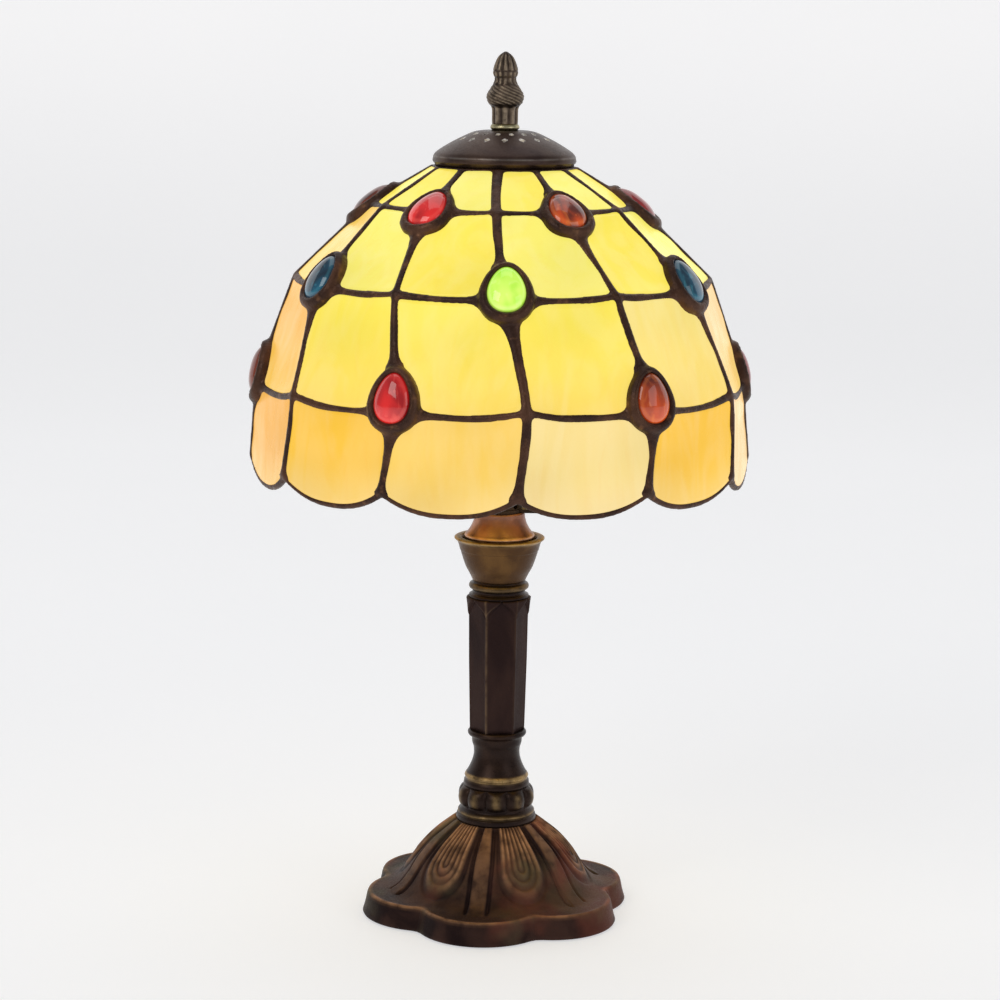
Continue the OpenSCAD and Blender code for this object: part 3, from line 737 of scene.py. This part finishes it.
def make_solder_piece():
    parts = [seam_tube(seam) for seam in range(COLUMNS)]
    parts += [ring_tube(ring, column) for ring in range(5) for column in range(COLUMNS)]
    places = [(ring, seam) for ring in (1, 2, 3) for seam in range(COLUMNS)]
    parts += [bezel_mesh(*place) for place in places if has_jewel(*place)]
    points, faces = joined(parts)
    piece = make_piece(
        "solder_lines", points, faces, solder, "shade", ("solder_seams",)
    )
    fuse = piece.modifiers.new("fuse", "REMESH")
    fuse.mode = "VOXEL"
    fuse.voxel_size = VOXEL_MM * MM
    fuse.use_smooth_shade = True
    soften = piece.modifiers.new("soften", "SMOOTH")
    soften.factor = 0.5
    soften.iterations = 4
    apply_modifiers(piece)


make_solder_piece()


# ---------------------------------------------------------------- shade: jewels
SIDE_TO_FRONT = 3


def make_jewels(node, ring, first, material):
    """Every fourth jewel of a ring, from the first. Those at the shade's sides are darkened as painted
    shade.
    """
    rings, sides = 12, 40
    a = np.arange(sides) * FULL_TURN / sides
    parts, edges, top_shades, side_shades = [], [], [], []
    for seam in range(first, COLUMNS, 4):
        origin, across, up, normal = crossing(ring, seam)
        layers = [(k / rings, 1) for k in range(1, rings + 1)]
        layers += [(k / rings, -1) for k in range(rings, 0, -1)]
        # Painted shade for the jewels that face the shade's sides.
        side_shade = float(abs(normal[0]) > SIDE_TO_FRONT * abs(normal[1]))
        points = []
        for level, face in layers:
            x, y = egg(UNDER_BEZEL, a)
            crown = JEWEL_EDGE + (JEWEL_TOP - JEWEL_EDGE) * (1 - level**2.4) ** 0.7
            back = -JEWEL_BACK - 0.6 * (1 - level**2)
            high = np.full(sides, crown if face > 0 else back)
            points.append(
                origin + level * x[:, None] * across + level * y[:, None] * up + high[:, None] * normal
            )
            edges += [level] * sides
            # Painted shade: the high value darkens each jewel towards its top.
            top_shades += (0.5 + level * y / JEWEL_L).tolist()
            side_shades += [side_shade] * sides
        parts.append((np.vstack(points), closed_tube_faces(len(layers), sides)))
    points, faces = joined(parts)
    piece = make_piece(node + "_cabochons", points, faces, material, "shade", (node,))
    set_point_values(piece, "edge", edges)
    set_point_values(piece, "high", top_shades)
    set_point_values(piece, "side_shade", side_shades)
    drop_loose(piece.data)


make_jewels("jewels_upper_red", 1, 3, jewel_red)
make_jewels("jewels_upper_amber", 1, 1, jewel_amber)
make_jewels("jewels_middle_green", 2, 0, jewel_green)
make_jewels("jewels_middle_blue", 2, 2, jewel_blue)
make_jewels("jewels_lower_red", 3, 3, jewel_red)
make_jewels("jewels_lower_amber", 3, 1, jewel_amber)


# ---------------------------------------------------------------- cap
CAP_TOP_Z = 321.4
CAP_T = 1.2
VENTS, VENT_SIDES = 16, 12
VENT_CUT_Z = (300.0, 330.0)
VENT_RINGS = ((18.0, 0.95, 0.0), (13.6, 0.85, 0.5))  # ring radius, hole radius, turn in holes
CAP_LINE = smooth_line(
    [
        (28.6, 310.3), (28.2, 311.7), (26.5, 313.4), (21.2, 316.7), (15.2, 319.7), (12.2, 320.9),
        (9.6, CAP_TOP_Z),
    ],
    8,
)


# A painted highlight line along the top of the cap's lip.
def cap_painted_highlight(r, z, a):
    return 0.14 * np.exp(-(((z - 311.2) / 0.35) ** 2)) * (r > 27.5)


def make_cap():
    inner = CAP_LINE[::-1] - [0.8, 1.1]
    lip = [(26.8, 307.4), (27.7, 307.3), (27.9, 308.4), (28.4, 308.8), (28.75, 309.5)]
    top = [(8, CAP_TOP_Z), (3.4, CAP_TOP_Z), (3.4, CAP_TOP_Z - CAP_T), (8, CAP_TOP_Z - CAP_T)]
    profile = lip + CAP_LINE.tolist() + top + inner.tolist()
    piece = turned(
        "cap_dome", profile, cap_metal, "shade", ("vented_cap",),
        steps=160, wear_and_sheen=cap_painted_highlight,
    )
    b = np.arange(VENT_SIDES) * FULL_TURN / VENT_SIDES
    cutters = []
    for ring_r, hole_r, shift in VENT_RINGS:
        for i in range(VENTS):
            turn = (i + shift) * FULL_TURN / VENTS
            x = ring_r * math.sin(turn) + hole_r * np.cos(b)
            y = -ring_r * math.cos(turn) + hole_r * np.sin(b)
            ends = [np.stack([x, y, np.full(VENT_SIDES, z)], axis=1) for z in VENT_CUT_Z]
            cutters.append((np.vstack(ends), closed_tube_faces(2, VENT_SIDES)))
    points, faces = joined(cutters)
    mesh = bpy.data.meshes.new("vents")
    mesh.from_pydata((points * MM).tolist(), [], faces)
    cutter = bpy.data.objects.new("vents", mesh)
    bpy.context.scene.collection.objects.link(cutter)
    cut = piece.modifiers.new("cut", "BOOLEAN")
    cut.operation = "DIFFERENCE"
    cut.solver = "EXACT"
    cut.object = cutter
    apply_modifiers(piece)
    bpy.data.objects.remove(cutter)
    places = np.array([v.co for v in piece.data.vertices]) / MM
    wear_and_sheen = cap_painted_highlight(np.hypot(places[:, 0], places[:, 1]), places[:, 2], 0)
    # Painted light from the bulb: the metal round each vent hole takes the near-white third colour.
    for ring_r, hole_r, shift in VENT_RINGS:
        turns = (np.arange(VENTS) + shift) * FULL_TURN / VENTS
        holes = np.stack([ring_r * np.sin(turns), -ring_r * np.cos(turns)], axis=1)
        gap = np.linalg.norm(places[:, None, :2] - holes[None], axis=2).min(1)
        wear_and_sheen = np.maximum(wear_and_sheen, (gap < hole_r + 0.02) & (places[:, 2] > 312))
    piece.data.attributes.remove(piece.data.attributes["wear_and_sheen"])
    set_point_values(piece, "wear_and_sheen", wear_and_sheen)


make_cap()


# ---------------------------------------------------------------- finial
def flutes(angle, count, sharp=1.0):
    """1 on each rib and 0 in each groove."""
    return (0.5 + 0.5 * np.cos(count * angle)) ** sharp


FINIAL_LINE = smooth_line(
    [
        (4.9, 324.0), (5.0, 325.2), (5.0, 328), (5.1, 329.9), (5.5, 330.8), (6.6, 332.2),
        (7.3, 334.4), (6.9, 336.2), (6.0, 337.6), (5.0, 339.4), (4.3, 340.8), (4.15, 341.8),
        (4.6, 343.1), (4.9, 344.4), (4.75, 345.6), (4.4, 346.9), (3.9, 348.3), (3.2, 349.8),
        (2.3, 351), (1.3, 351.9), (0.5, 352.4),
    ],
    5,
)
ROPE_TWIST = 0.36


def finial_relief(z, a):
    """The ribs of the neck, the bulge's twisted ropes, the waist's flutes, the beads and the
    acorn: where each is, its ribs, their height and the sinking of the grooves between."""
    neck = smoothstep(331.5, 330.2, z)
    bulge = smoothstep(331.0, 332.6, z) * smoothstep(339.8, 338.6, z)
    waist = smoothstep(339.4, 340.2, z) * smoothstep(342.4, 341.8, z)
    beads = smoothstep(342.4, 343.0, z) * smoothstep(344.8, 344.2, z)
    acorn = smoothstep(344.8, 345.4, z) * smoothstep(352.2, 350.6, z)
    return (
        (neck, flutes(a, 9, 0.6), 0.75, -0.5),
        (bulge, flutes(a + ROPE_TWIST * (z - 334), 13, 0.7), 0.65, -0.35),
        (waist, flutes(a, 13, 0.8), 0.4, -0.2),
        (beads, flutes(a, 14), 0.35, -0.1),
        (acorn, flutes(a, 11, 0.7), 0.55, -0.35),
    )


def finial_shape(r, z, a):
    shaped = r + sum(here * (high * rib + low) for here, rib, high, low in finial_relief(z, a))
    return np.where((r > 4.15) | (z > 341), shaped, r)


def finial_wear(r, z, a):
    return np.clip(sum(here * rib for here, rib, _, _ in finial_relief(z, a)), 0, 1) ** 1.6


turned(
    "finial_casting",
    FINIAL_LINE.tolist() + [(0.05, 352.45), (0.05, 336), (4.0, 336), (4.0, 324)],
    finial_bronze, "finial", ("finial",),
    shape=finial_shape, steps=176, wear_and_sheen=finial_wear,
)
turned(
    "finial_seat_ring",
    smooth_line([(5.2, 321.9), (5.6, 322.1), (5.85, 322.7), (5.6, 323.4), (5.2, 323.9)], 4).tolist()
    + [(3.4, 323.9), (3.4, 321.5), (5.2, 321.5)],
    washer_brass, "finial_seat", ("finial_washer",),
    wear_and_sheen=lambda r, z, a: smoothstep(5.5, 5.85, r),
)


# ---------------------------------------------------------------- husk, cup and head
TUBE_R = 5.1
turned(
    "husk_casting",
    [(TUBE_R, 156.2), (13.6, 156.2)]
    + smooth_line(
        [
            (13.9, 156.6), (14.3, 157.3), (14.1, 158.1), (13.0, 159.3), (12.0, 160.8),
            (11.0, 162.8), (10.4, 165), (10.2, 166.6),
        ],
        6,
    ).tolist()
    + [(10.3, 167.5), (TUBE_R, 167.5)],
    copper, "root", ("husk",), wear_and_sheen=lambda r, z, a: smoothstep(13.6, 14.3, r),
)
turned(
    "cup_casting",
    [(TUBE_R, 139), (10.8, 139)]
    + smooth_line(
        [
            (11.0, 139.5), (12.1, 141.8), (13.8, 145.0), (15.4, 149.7), (15.9, 151.5),
            (16.15, 151.9), (16.7, 154), (17.4, 155.5), (18.3, 156.2), (18.45, 156.7),
            (18.1, 157.0),
        ],
        6,
    ).tolist()
    + smooth_line([(17.2, 157.0), (15.6, 156.9), (14.4, 154), (13.7, 151.5)], 4).tolist()
    + [(TUBE_R, 151.5)],
    cup_bronze, "root", ("cup",), wear_and_sheen=lambda r, z, a: smoothstep(17.0, 18.2, r),
)
turned(
    "column_head_casting",
    [(TUBE_R, 132), (12.0, 132), (12.25, 132.4), (12.2, 133.1), (11.2, 133.6), (10.7, 134.2)]
    + smooth_line(
        [
            (10.9, 135.2), (11.9, 135.8), (12.3, 136.7), (11.9, 137.7), (11.0, 138.3), (10.8, 139),
        ],
        4,
    ).tolist()
    + [(TUBE_R, 139)],
    relief_bronze, "root", ("column_head",),
    wear_and_sheen=lambda r, z, a: 0.3 * smoothstep(11.2, 12.2, r) * smoothstep(134.8, 135.4, z),
)


# ---------------------------------------------------------------- column
COLUMN_TURN = math.radians(-24)
SIXTH = FULL_TURN / 6
ARRIS_SHARE = 0.9985


def to_nearest(a, turn):
    """The angle to the nearest of six evenly turned places."""
    return (a - turn + SIXTH / 2) % SIXTH - SIXTH / 2


def hexagon(a, turn):
    """A hexagon's radius against its corner radius, with slightly rounded arrises."""
    off = np.abs(to_nearest(a, turn))
    rounded = ARRIS_SHARE - 0.12 * (0.1 - np.minimum(off, 0.1))
    return np.minimum(math.cos(SIXTH / 2) / np.cos(SIXTH / 2 - off), rounded)


STOP_TOP_Z, STOP_TIP_Z = 131.4, 124.6
STOP_HALF_W = 6.4


def stop_level(r, z, a):
    """Above 0 inside the pointed stops at the arris tops, in millimetres from their edge."""
    off = np.abs(to_nearest(a, COLUMN_TURN))
    up = np.clip((z - STOP_TIP_Z) / (STOP_TOP_Z - STOP_TIP_Z), 0, 1)
    half_w = STOP_HALF_W * (0.35 * up + 0.65 * up**2.2)
    return np.where(z > STOP_TIP_Z, half_w - off * r, -9)


def column_shape(r, z, a):
    stop = smoothstep(-0.4, 0.4, stop_level(r, z, a))
    off = np.abs(to_nearest(a, COLUMN_TURN))
    arris = 0.22 * np.exp(-((off * r / 0.6) ** 2))
    cut = 0.3 * np.exp(-(((stop_level(r, z, a) + 0.4) / 0.35) ** 2))
    shaped = r * hexagon(a, COLUMN_TURN) * (1 - stop) + (r + 0.15) * stop + arris - cut
    return np.where(r < 6, r, shaped)


def column_wear_and_highlight(r, z, a):
    off = np.abs(to_nearest(a, COLUMN_TURN))
    edge = np.exp(-(((stop_level(r, z, a) - 0.5) / 0.3) ** 2))
    # Painted highlight on the arris at the front left, on top of light scuffing on every arris.
    rub_and_arris_highlight = 0.12 + 0.5 * smoothstep(0.9, 0.95, np.cos(a - COLUMN_TURN))
    return np.clip(rub_and_arris_highlight * (np.exp(-((off * r / 0.45) ** 2)) + 0.5 * edge), 0, 1)


column_z = np.concatenate([np.linspace(76, 123, 24), np.linspace(123.6, 131.8, 24)])
column_r = np.interp(column_z, [76, 79.2, 105.7, 124, 129, 132], [11.2, 11.3, 11.9, 12.1, 12.6, 13.0])
turned(
    "column_casting", [(TUBE_R, 76)] + list(zip(column_r, column_z)) + [(12.6, 132), (TUBE_R, 132)],
    bronze_plain, "root", ("column",),
    shape=column_shape, steps=360, wear_and_sheen=column_wear_and_highlight,
)
# The bright band round the neck's ring, at z 55 to 60, is a painted highlight.
turned(
    "neck_casting",
    [(TUBE_R, 52.5), (13.4, 52.5), (13.6, 53.2), (13.4, 54.6), (12.7, 55.2)]
    + smooth_line(
        [
            (12.8, 55.8), (13.2, 56.6), (12.9, 57.4), (12.3, 58.2), (11.2, 60.2), (10.0, 63.2),
            (9.45, 66), (9.6, 68.6), (10.2, 70.6), (10.35, 72.4), (10.6, 73.3),
        ],
        5,
    ).tolist()
    + smooth_line([(11.5, 73.7), (12.0, 74.4), (12.05, 75.2), (11.6, 75.9)], 4).tolist()
    + [(11.2, 76), (TUBE_R, 76)],
    relief_bronze, "root", ("neck",),
    wear_and_sheen=lambda r, z, a: smoothstep(12.2, 12.9, r) * smoothstep(55, 55.8, z) * smoothstep(60, 59, z),
)

GADROONS = 10
GADROON_RISE, GADROON_SINK = 1.9, 1.6


def gadroon_shape(r, z, a):
    lobe = np.abs(np.cos(GADROONS * a / 2)) ** 0.55
    here = smoothstep(43.8, 45.4, z) * smoothstep(52.6, 51.2, z)
    return np.where(r > 6, r + here * (GADROON_RISE * lobe - GADROON_SINK), r)


def gadroon_wear_and_highlight(r, z, a):
    lobe = np.exp(-((((GADROONS * a / 2 + math.pi / 2) % math.pi - math.pi / 2) / 0.45) ** 2))
    here = smoothstep(44.5, 46.5, z) * smoothstep(51.8, 49.5, z)
    # A painted highlight line round the bead below the gadroons; the lobes' crests are scuffed.
    ring = np.exp(-(((z - 41.6) / 0.6) ** 2)) * (r > 14)
    return np.clip(0.5 * lobe * here + 0.6 * ring, 0, 1)


turned(
    "gadroon_casting",
    [(TUBE_R, 38), (16.3, 38)]
    + smooth_line(
        [
            (16.5, 38.8), (16.3, 40.2), (15.6, 40.8), (15.9, 41.6), (15.5, 42.3), (14.6, 43.2),
            (14.4, 44.2), (15.3, 45.4), (15.8, 47.8), (15.4, 50), (14.4, 51.6), (13.4, 52.4),
        ],
        6,
    ).tolist()
    + [(TUBE_R, 52.5)],
    relief_bronze, "root", ("gadroon_ring",),
    shape=gadroon_shape, steps=320, wear_and_sheen=gadroon_wear_and_highlight,
)


# ---------------------------------------------------------------- base
LOBE_TURN = math.radians(-10)
LOBE_OFFSET, LOBE_R = 29.0, 27.5
DOME_LINE = smooth_line(
    [
        (14, 38.2), (16.6, 37.8), (22.5, 33.4), (27.8, 28.9), (33.2, 22.6), (37.2, 16.4),
        (41, 12.0), (45, 10.1), (50, 9.8), (58, 9.7),
    ],
    6,
)
# Along the flange's top edge, wear_and_sheen is scuffing and a painted highlight line.
FLANGE_EDGE = [  # inset, height and wear_and_sheen
    (3.7, 9.9, 0.3), (3.0, 9.95, 0.6), (2.5, 9.7, 0.5), (2.1, 9.0, 0.1), (1.8, 8.0, 0),
    (1.2, 5.0, 0), (0.5, 2.4, 0), (0.1, 1.2, 0), (0.4, 0.6, 0), (0.9, 0.5, 0),
]
LEAF_FOOT_R = 31.0
LEAF_HALF_TURN = math.radians(14.5)
LEAF_FOOT_L = 12.5
STRAP_HALF_W = 3.3


def outline(a, inset):
    """The radius of the base's six-lobed edge, drawn in by inset, with softened notches."""
    off = to_nearest(a, LOBE_TURN)
    reach = np.sqrt((LOBE_R - inset) ** 2 - (LOBE_OFFSET * np.sin(off)) ** 2)
    lobe = LOBE_OFFSET * np.cos(off) + reach
    notch = np.abs(to_nearest(a, LOBE_TURN + SIXTH / 2))
    return lobe + 0.9 * np.exp(-((notch * 48 / 1.6) ** 2))


DOME_RUN = np.concatenate([[0], np.cumsum(np.linalg.norm(np.diff(DOME_LINE, axis=0), axis=1))])


def base_relief(r, a):
    """Height of the leaves, straps and ribs on the dome, and how scuffed they are, with a painted
    highlight strongest near the top of the dome.
    """
    run = np.interp(r, DOME_LINE[:, 0], DOME_RUN)
    below = run - np.interp(LEAF_FOOT_R, DOME_LINE[:, 0], DOME_RUN)
    off = to_nearest(a, LOBE_TURN + SIXTH / 2)
    level = np.sqrt((off / LEAF_HALF_TURN) ** 2 + (np.maximum(below, 0) / LEAF_FOOT_L) ** 2)
    dome = smoothstep(15.8, 17.5, r) * smoothstep(46, 42, r)
    rim = np.exp(-(((level - 0.92) / 0.11) ** 2))
    ribs = (0.5 + 0.5 * np.cos(level * FULL_TURN * 3.3)) * smoothstep(0.82, 0.74, level)
    gutter = np.exp(-(((level - 1.2) / 0.1) ** 2))
    side = r * np.abs(to_nearest(a, LOBE_TURN))
    outside = smoothstep(1.12, 1.25, level)
    half_w = STRAP_HALF_W * np.interp(r, [16, 30, 42], [0.5, 1.0, 1.1])
    strap = smoothstep(half_w + 0.4, half_w - 0.6, side) * outside
    groove = np.exp(-(((side - half_w - 0.7) / 0.7) ** 2)) * outside
    height = dome * (1.0 * rim + 0.85 * ribs - 0.7 * gutter + 0.8 * strap - 1.1 * groove)
    # Painted highlight, strongest near the top of the dome.
    light = np.interp(r, [16, 20, 30, 42, 48], [0.7, 1.0, 0.6, 0.35, 0.25])
    on_dome = 0.9 * rim + 0.8 * ribs + 0.28 * strap + 0.15 - 0.9 * groove - 0.4 * gutter
    worn_and_sheen = light * (dome * on_dome + (1 - dome) * 0.2)
    return height, np.clip(worn_and_sheen, 0, 1)


def make_base():
    steps, rows = 720, 96
    a = np.arange(steps) * FULL_TURN / steps
    layers, wear_and_sheen_values = [], []

    def add(r, z, wear_and_sheen=0.0):
        r, z = np.broadcast_to(r, a.shape), np.broadcast_to(z, a.shape)
        layers.append(np.stack([r * np.sin(a), -r * np.cos(a), z], axis=1))
        wear_and_sheen_values.append(np.broadcast_to(wear_and_sheen, a.shape))

    add(TUBE_R, 35.0)
    add(TUBE_R, 38.0)
    add(15.0, 38.0)
    edge = outline(a, 4.4)
    for t in np.linspace(0, 1, rows):
        r = 15.5 + (edge - 15.5) * t
        relief, worn_and_sheen = base_relief(r, a)
        z = np.interp(r, DOME_LINE[:, 0], DOME_LINE[:, 1]) + relief
        add(r, z, worn_and_sheen)
    for inset, z, wear_and_sheen in FLANGE_EDGE:
        add(outline(a, inset), z, wear_and_sheen)
    add(outline(a, 2.3), 0.5)
    add(outline(a, 2.5), 2.4)
    add(outline(a, 5.4), 2.4)
    add(outline(a, 5.4), 6.0)
    for r, z in reversed(list(zip(DOME_LINE[::6, 0], DOME_LINE[::6, 1]))):
        if r < 41:
            add(r - 2.2, z - 3.2)
    points = np.vstack(layers)
    piece = make_piece(
        "base_relief_casting", points, grid_faces(len(layers), steps, close_rows=True), bronze, "root",
        ("base_casting",),
    )
    set_point_values(piece, "wear_and_sheen", np.concatenate(wear_and_sheen_values))
    drop_loose(piece.data)


make_base()


# ---------------------------------------------------------------- bulb
GLOBE_R, GLOBE_Z, GLOBE_T = 22.5, 252.0, 0.8
THREAD_PITCH, THREAD_DEPTH = 3.6, 0.9
THREAD_FROM_Z, THREAD_TO_Z = 203.5, 217
THREAD_MIN_R = 12.6


def thread_shape(r, z, a):
    wave = 0.5 + 0.5 * np.cos(FULL_TURN * z / THREAD_PITCH + a)
    threaded = (z > THREAD_FROM_Z) & (z < THREAD_TO_Z) & (r > THREAD_MIN_R)
    return np.where(threaded, r - THREAD_DEPTH * wave, r)


turned(
    "bulb_cap",
    [(0.05, 197.5), (3.2, 197.6), (4, 198.4), (4, 199), (5, 199)]
    + smooth_line([(7, 200), (10.5, 201.6), (13.0, 203.2)], 3).tolist()
    + [(13.2, z) for z in np.linspace(203.6, 217, 48)]
    + [(13.2, 218), (13.2, 225.6), (12.9, 226), (12.7, 225.6), (12.7, 218), (0.05, 217.8)],
    bulb_metal, "bulb", ("bulb_base",), shape=thread_shape, steps=96,
)
globe_a = np.radians(np.linspace(-56, 89.5, 50))
globe_line = [(12.5, 218.4), (12.6, 226), (12.6, 231.5)] + [
    (GLOBE_R * math.cos(b), GLOBE_Z + GLOBE_R * math.sin(b)) for b in globe_a
]
globe_inside = [
    (r - GLOBE_T, z) if r > 1 else (r, z - GLOBE_T) for r, z in reversed(globe_line)
]
turned(
    "bulb_globe_glass",
    globe_line + globe_inside,
    bulb_glass, "bulb", ("bulb_globe",), steps=96,
)


# ---------------------------------------------------------------- CAD pieces that show as they are
for material, names in (
    (felt, ("foot_pad",)),
    (zinc, ("base_cover", "base_washer", "base_nut", "centre_tube", "cup_spacer", "seat_washer")),
    (plastic, ("cord_bushing", "switch_key")),
    # The saddle and socket cap take brass darkened as painted shade.
    (shade_darkened_brass, ("saddle", "socket_cap")),
    (brass, ("socket_shell", "centre_contact", "harp_frame", "harp_stud")),
    (brass, ("ferrule_left", "ferrule_right", "spider", "finial_insert")),
    (paper, ("socket_liner",)),
    (phenolic, ("socket_core",)),
    (bulb_metal, ("screw_shell",)),
):
    for name in names:
        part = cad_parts[name]
        part.data.materials.clear()
        part.data.materials.append(material)


# ---------------------------------------------------------------- floor and light
def add_stage_piece(name, points, faces, material, rise_from, rise_to):
    """A piece of the stage from points in metres, paler from one height up to another."""
    mesh = bpy.data.meshes.new(name)
    mesh.from_pydata(points, [], faces)
    mesh.polygons.foreach_set("use_smooth", [True] * len(mesh.polygons))
    mesh.materials.append(material)
    piece = bpy.data.objects.new(name, mesh)
    bpy.context.scene.collection.objects.link(piece)
    heights = np.array([z for x, y, z in points])
    set_point_values(piece, "rise", smoothstep(rise_from, rise_to, heights))
    return piece


STAGE_HALF_W = 12.0
WALL_Y, WALL_TOP_Z = 2.4, 4.0
COVE_R = 1.2
STAGE_GLOW = 0.81


def make_stage():
    """A pale floor that curves up into a pale wall, and far walls for the other views."""
    s = Shader("pale floor")
    s.set(Base_Color=s.mix(s.noise(4, 3), rgb(186, 187, 188), rgb(192, 192, 192)), Roughness=0.9)
    paler = s.mix(s.value("rise"), rgb(213, 213, 214), rgb(232, 231, 231))
    s.set(Emission_Color=paler, Emission_Strength=STAGE_GLOW)
    depth = [(-STAGE_HALF_W, 0.0), (WALL_Y - COVE_R, 0.0)]
    for t in np.radians(np.linspace(5, 85, 17)):
        depth.append((WALL_Y - COVE_R + COVE_R * math.sin(t), COVE_R - COVE_R * math.cos(t)))
    depth += [(WALL_Y, COVE_R), (WALL_Y, WALL_TOP_Z)]
    points = [(x, y, z) for y, z in depth for x in (-STAGE_HALF_W, STAGE_HALF_W)]
    faces = [(2 * i, 2 * i + 1, 2 * i + 3, 2 * i + 2) for i in range(len(depth) - 1)]
    add_stage_piece("floor", points, faces, s.material, 0.02, 0.4)

    # The far walls are only seen, and neither light the lamp nor show in its metal.
    w = STAGE_HALF_W
    plan = [(-w, WALL_Y), (-w, -w), (w, -w), (w, WALL_Y)]
    heights = (0.0, 0.5, 1.0, 1.5, 2.0, WALL_TOP_Z)
    points = [(x, y, z) for z in heights for x, y in plan]
    corners = [4 * i + k for i in range(len(heights) - 1) for k in range(len(plan) - 1)]
    faces = [(c, c + 1, c + 5, c + 4) for c in corners]
    walls = add_stage_piece("far_walls", points, faces, s.material, 0.0, 2.0)
    walls.visible_diffuse = walls.visible_glossy = walls.visible_shadow = False


def area_light(name, place, aim, size, watts, colour=(1, 1, 1)):
    data = bpy.data.lights.new(name, "AREA")
    data.shape = "RECTANGLE"
    data.size, data.size_y = size
    data.energy = watts
    data.color = colour
    light = bpy.data.objects.new(name, data)
    light.location = place
    light.rotation_euler = (Vector(aim) - Vector(place)).to_track_quat("-Z", "Y").to_euler()
    bpy.context.scene.collection.objects.link(light)


def make_light():
    world = bpy.data.worlds.new("studio")
    world.use_nodes = True
    background = world.node_tree.nodes["Background"]
    background.inputs["Color"].default_value = (0.93, 0.95, 1.0, 1)
    background.inputs["Strength"].default_value = 0.28
    bpy.context.scene.world = world
    area_light("key", (-0.9, -1.1, 1.2), (0, 0, 0.15), (0.9, 0.9), 6, (1.0, 0.98, 0.95))
    area_light("fill", (1.1, -0.9, 0.7), (0, 0, 0.15), (0.9, 0.9), 2.5, (0.95, 0.97, 1.0))
    area_light("top", (0.0, 0.3, 1.5), (0, 0, 0.2), (1.0, 1.0), 2.5)


make_stage()
make_light()
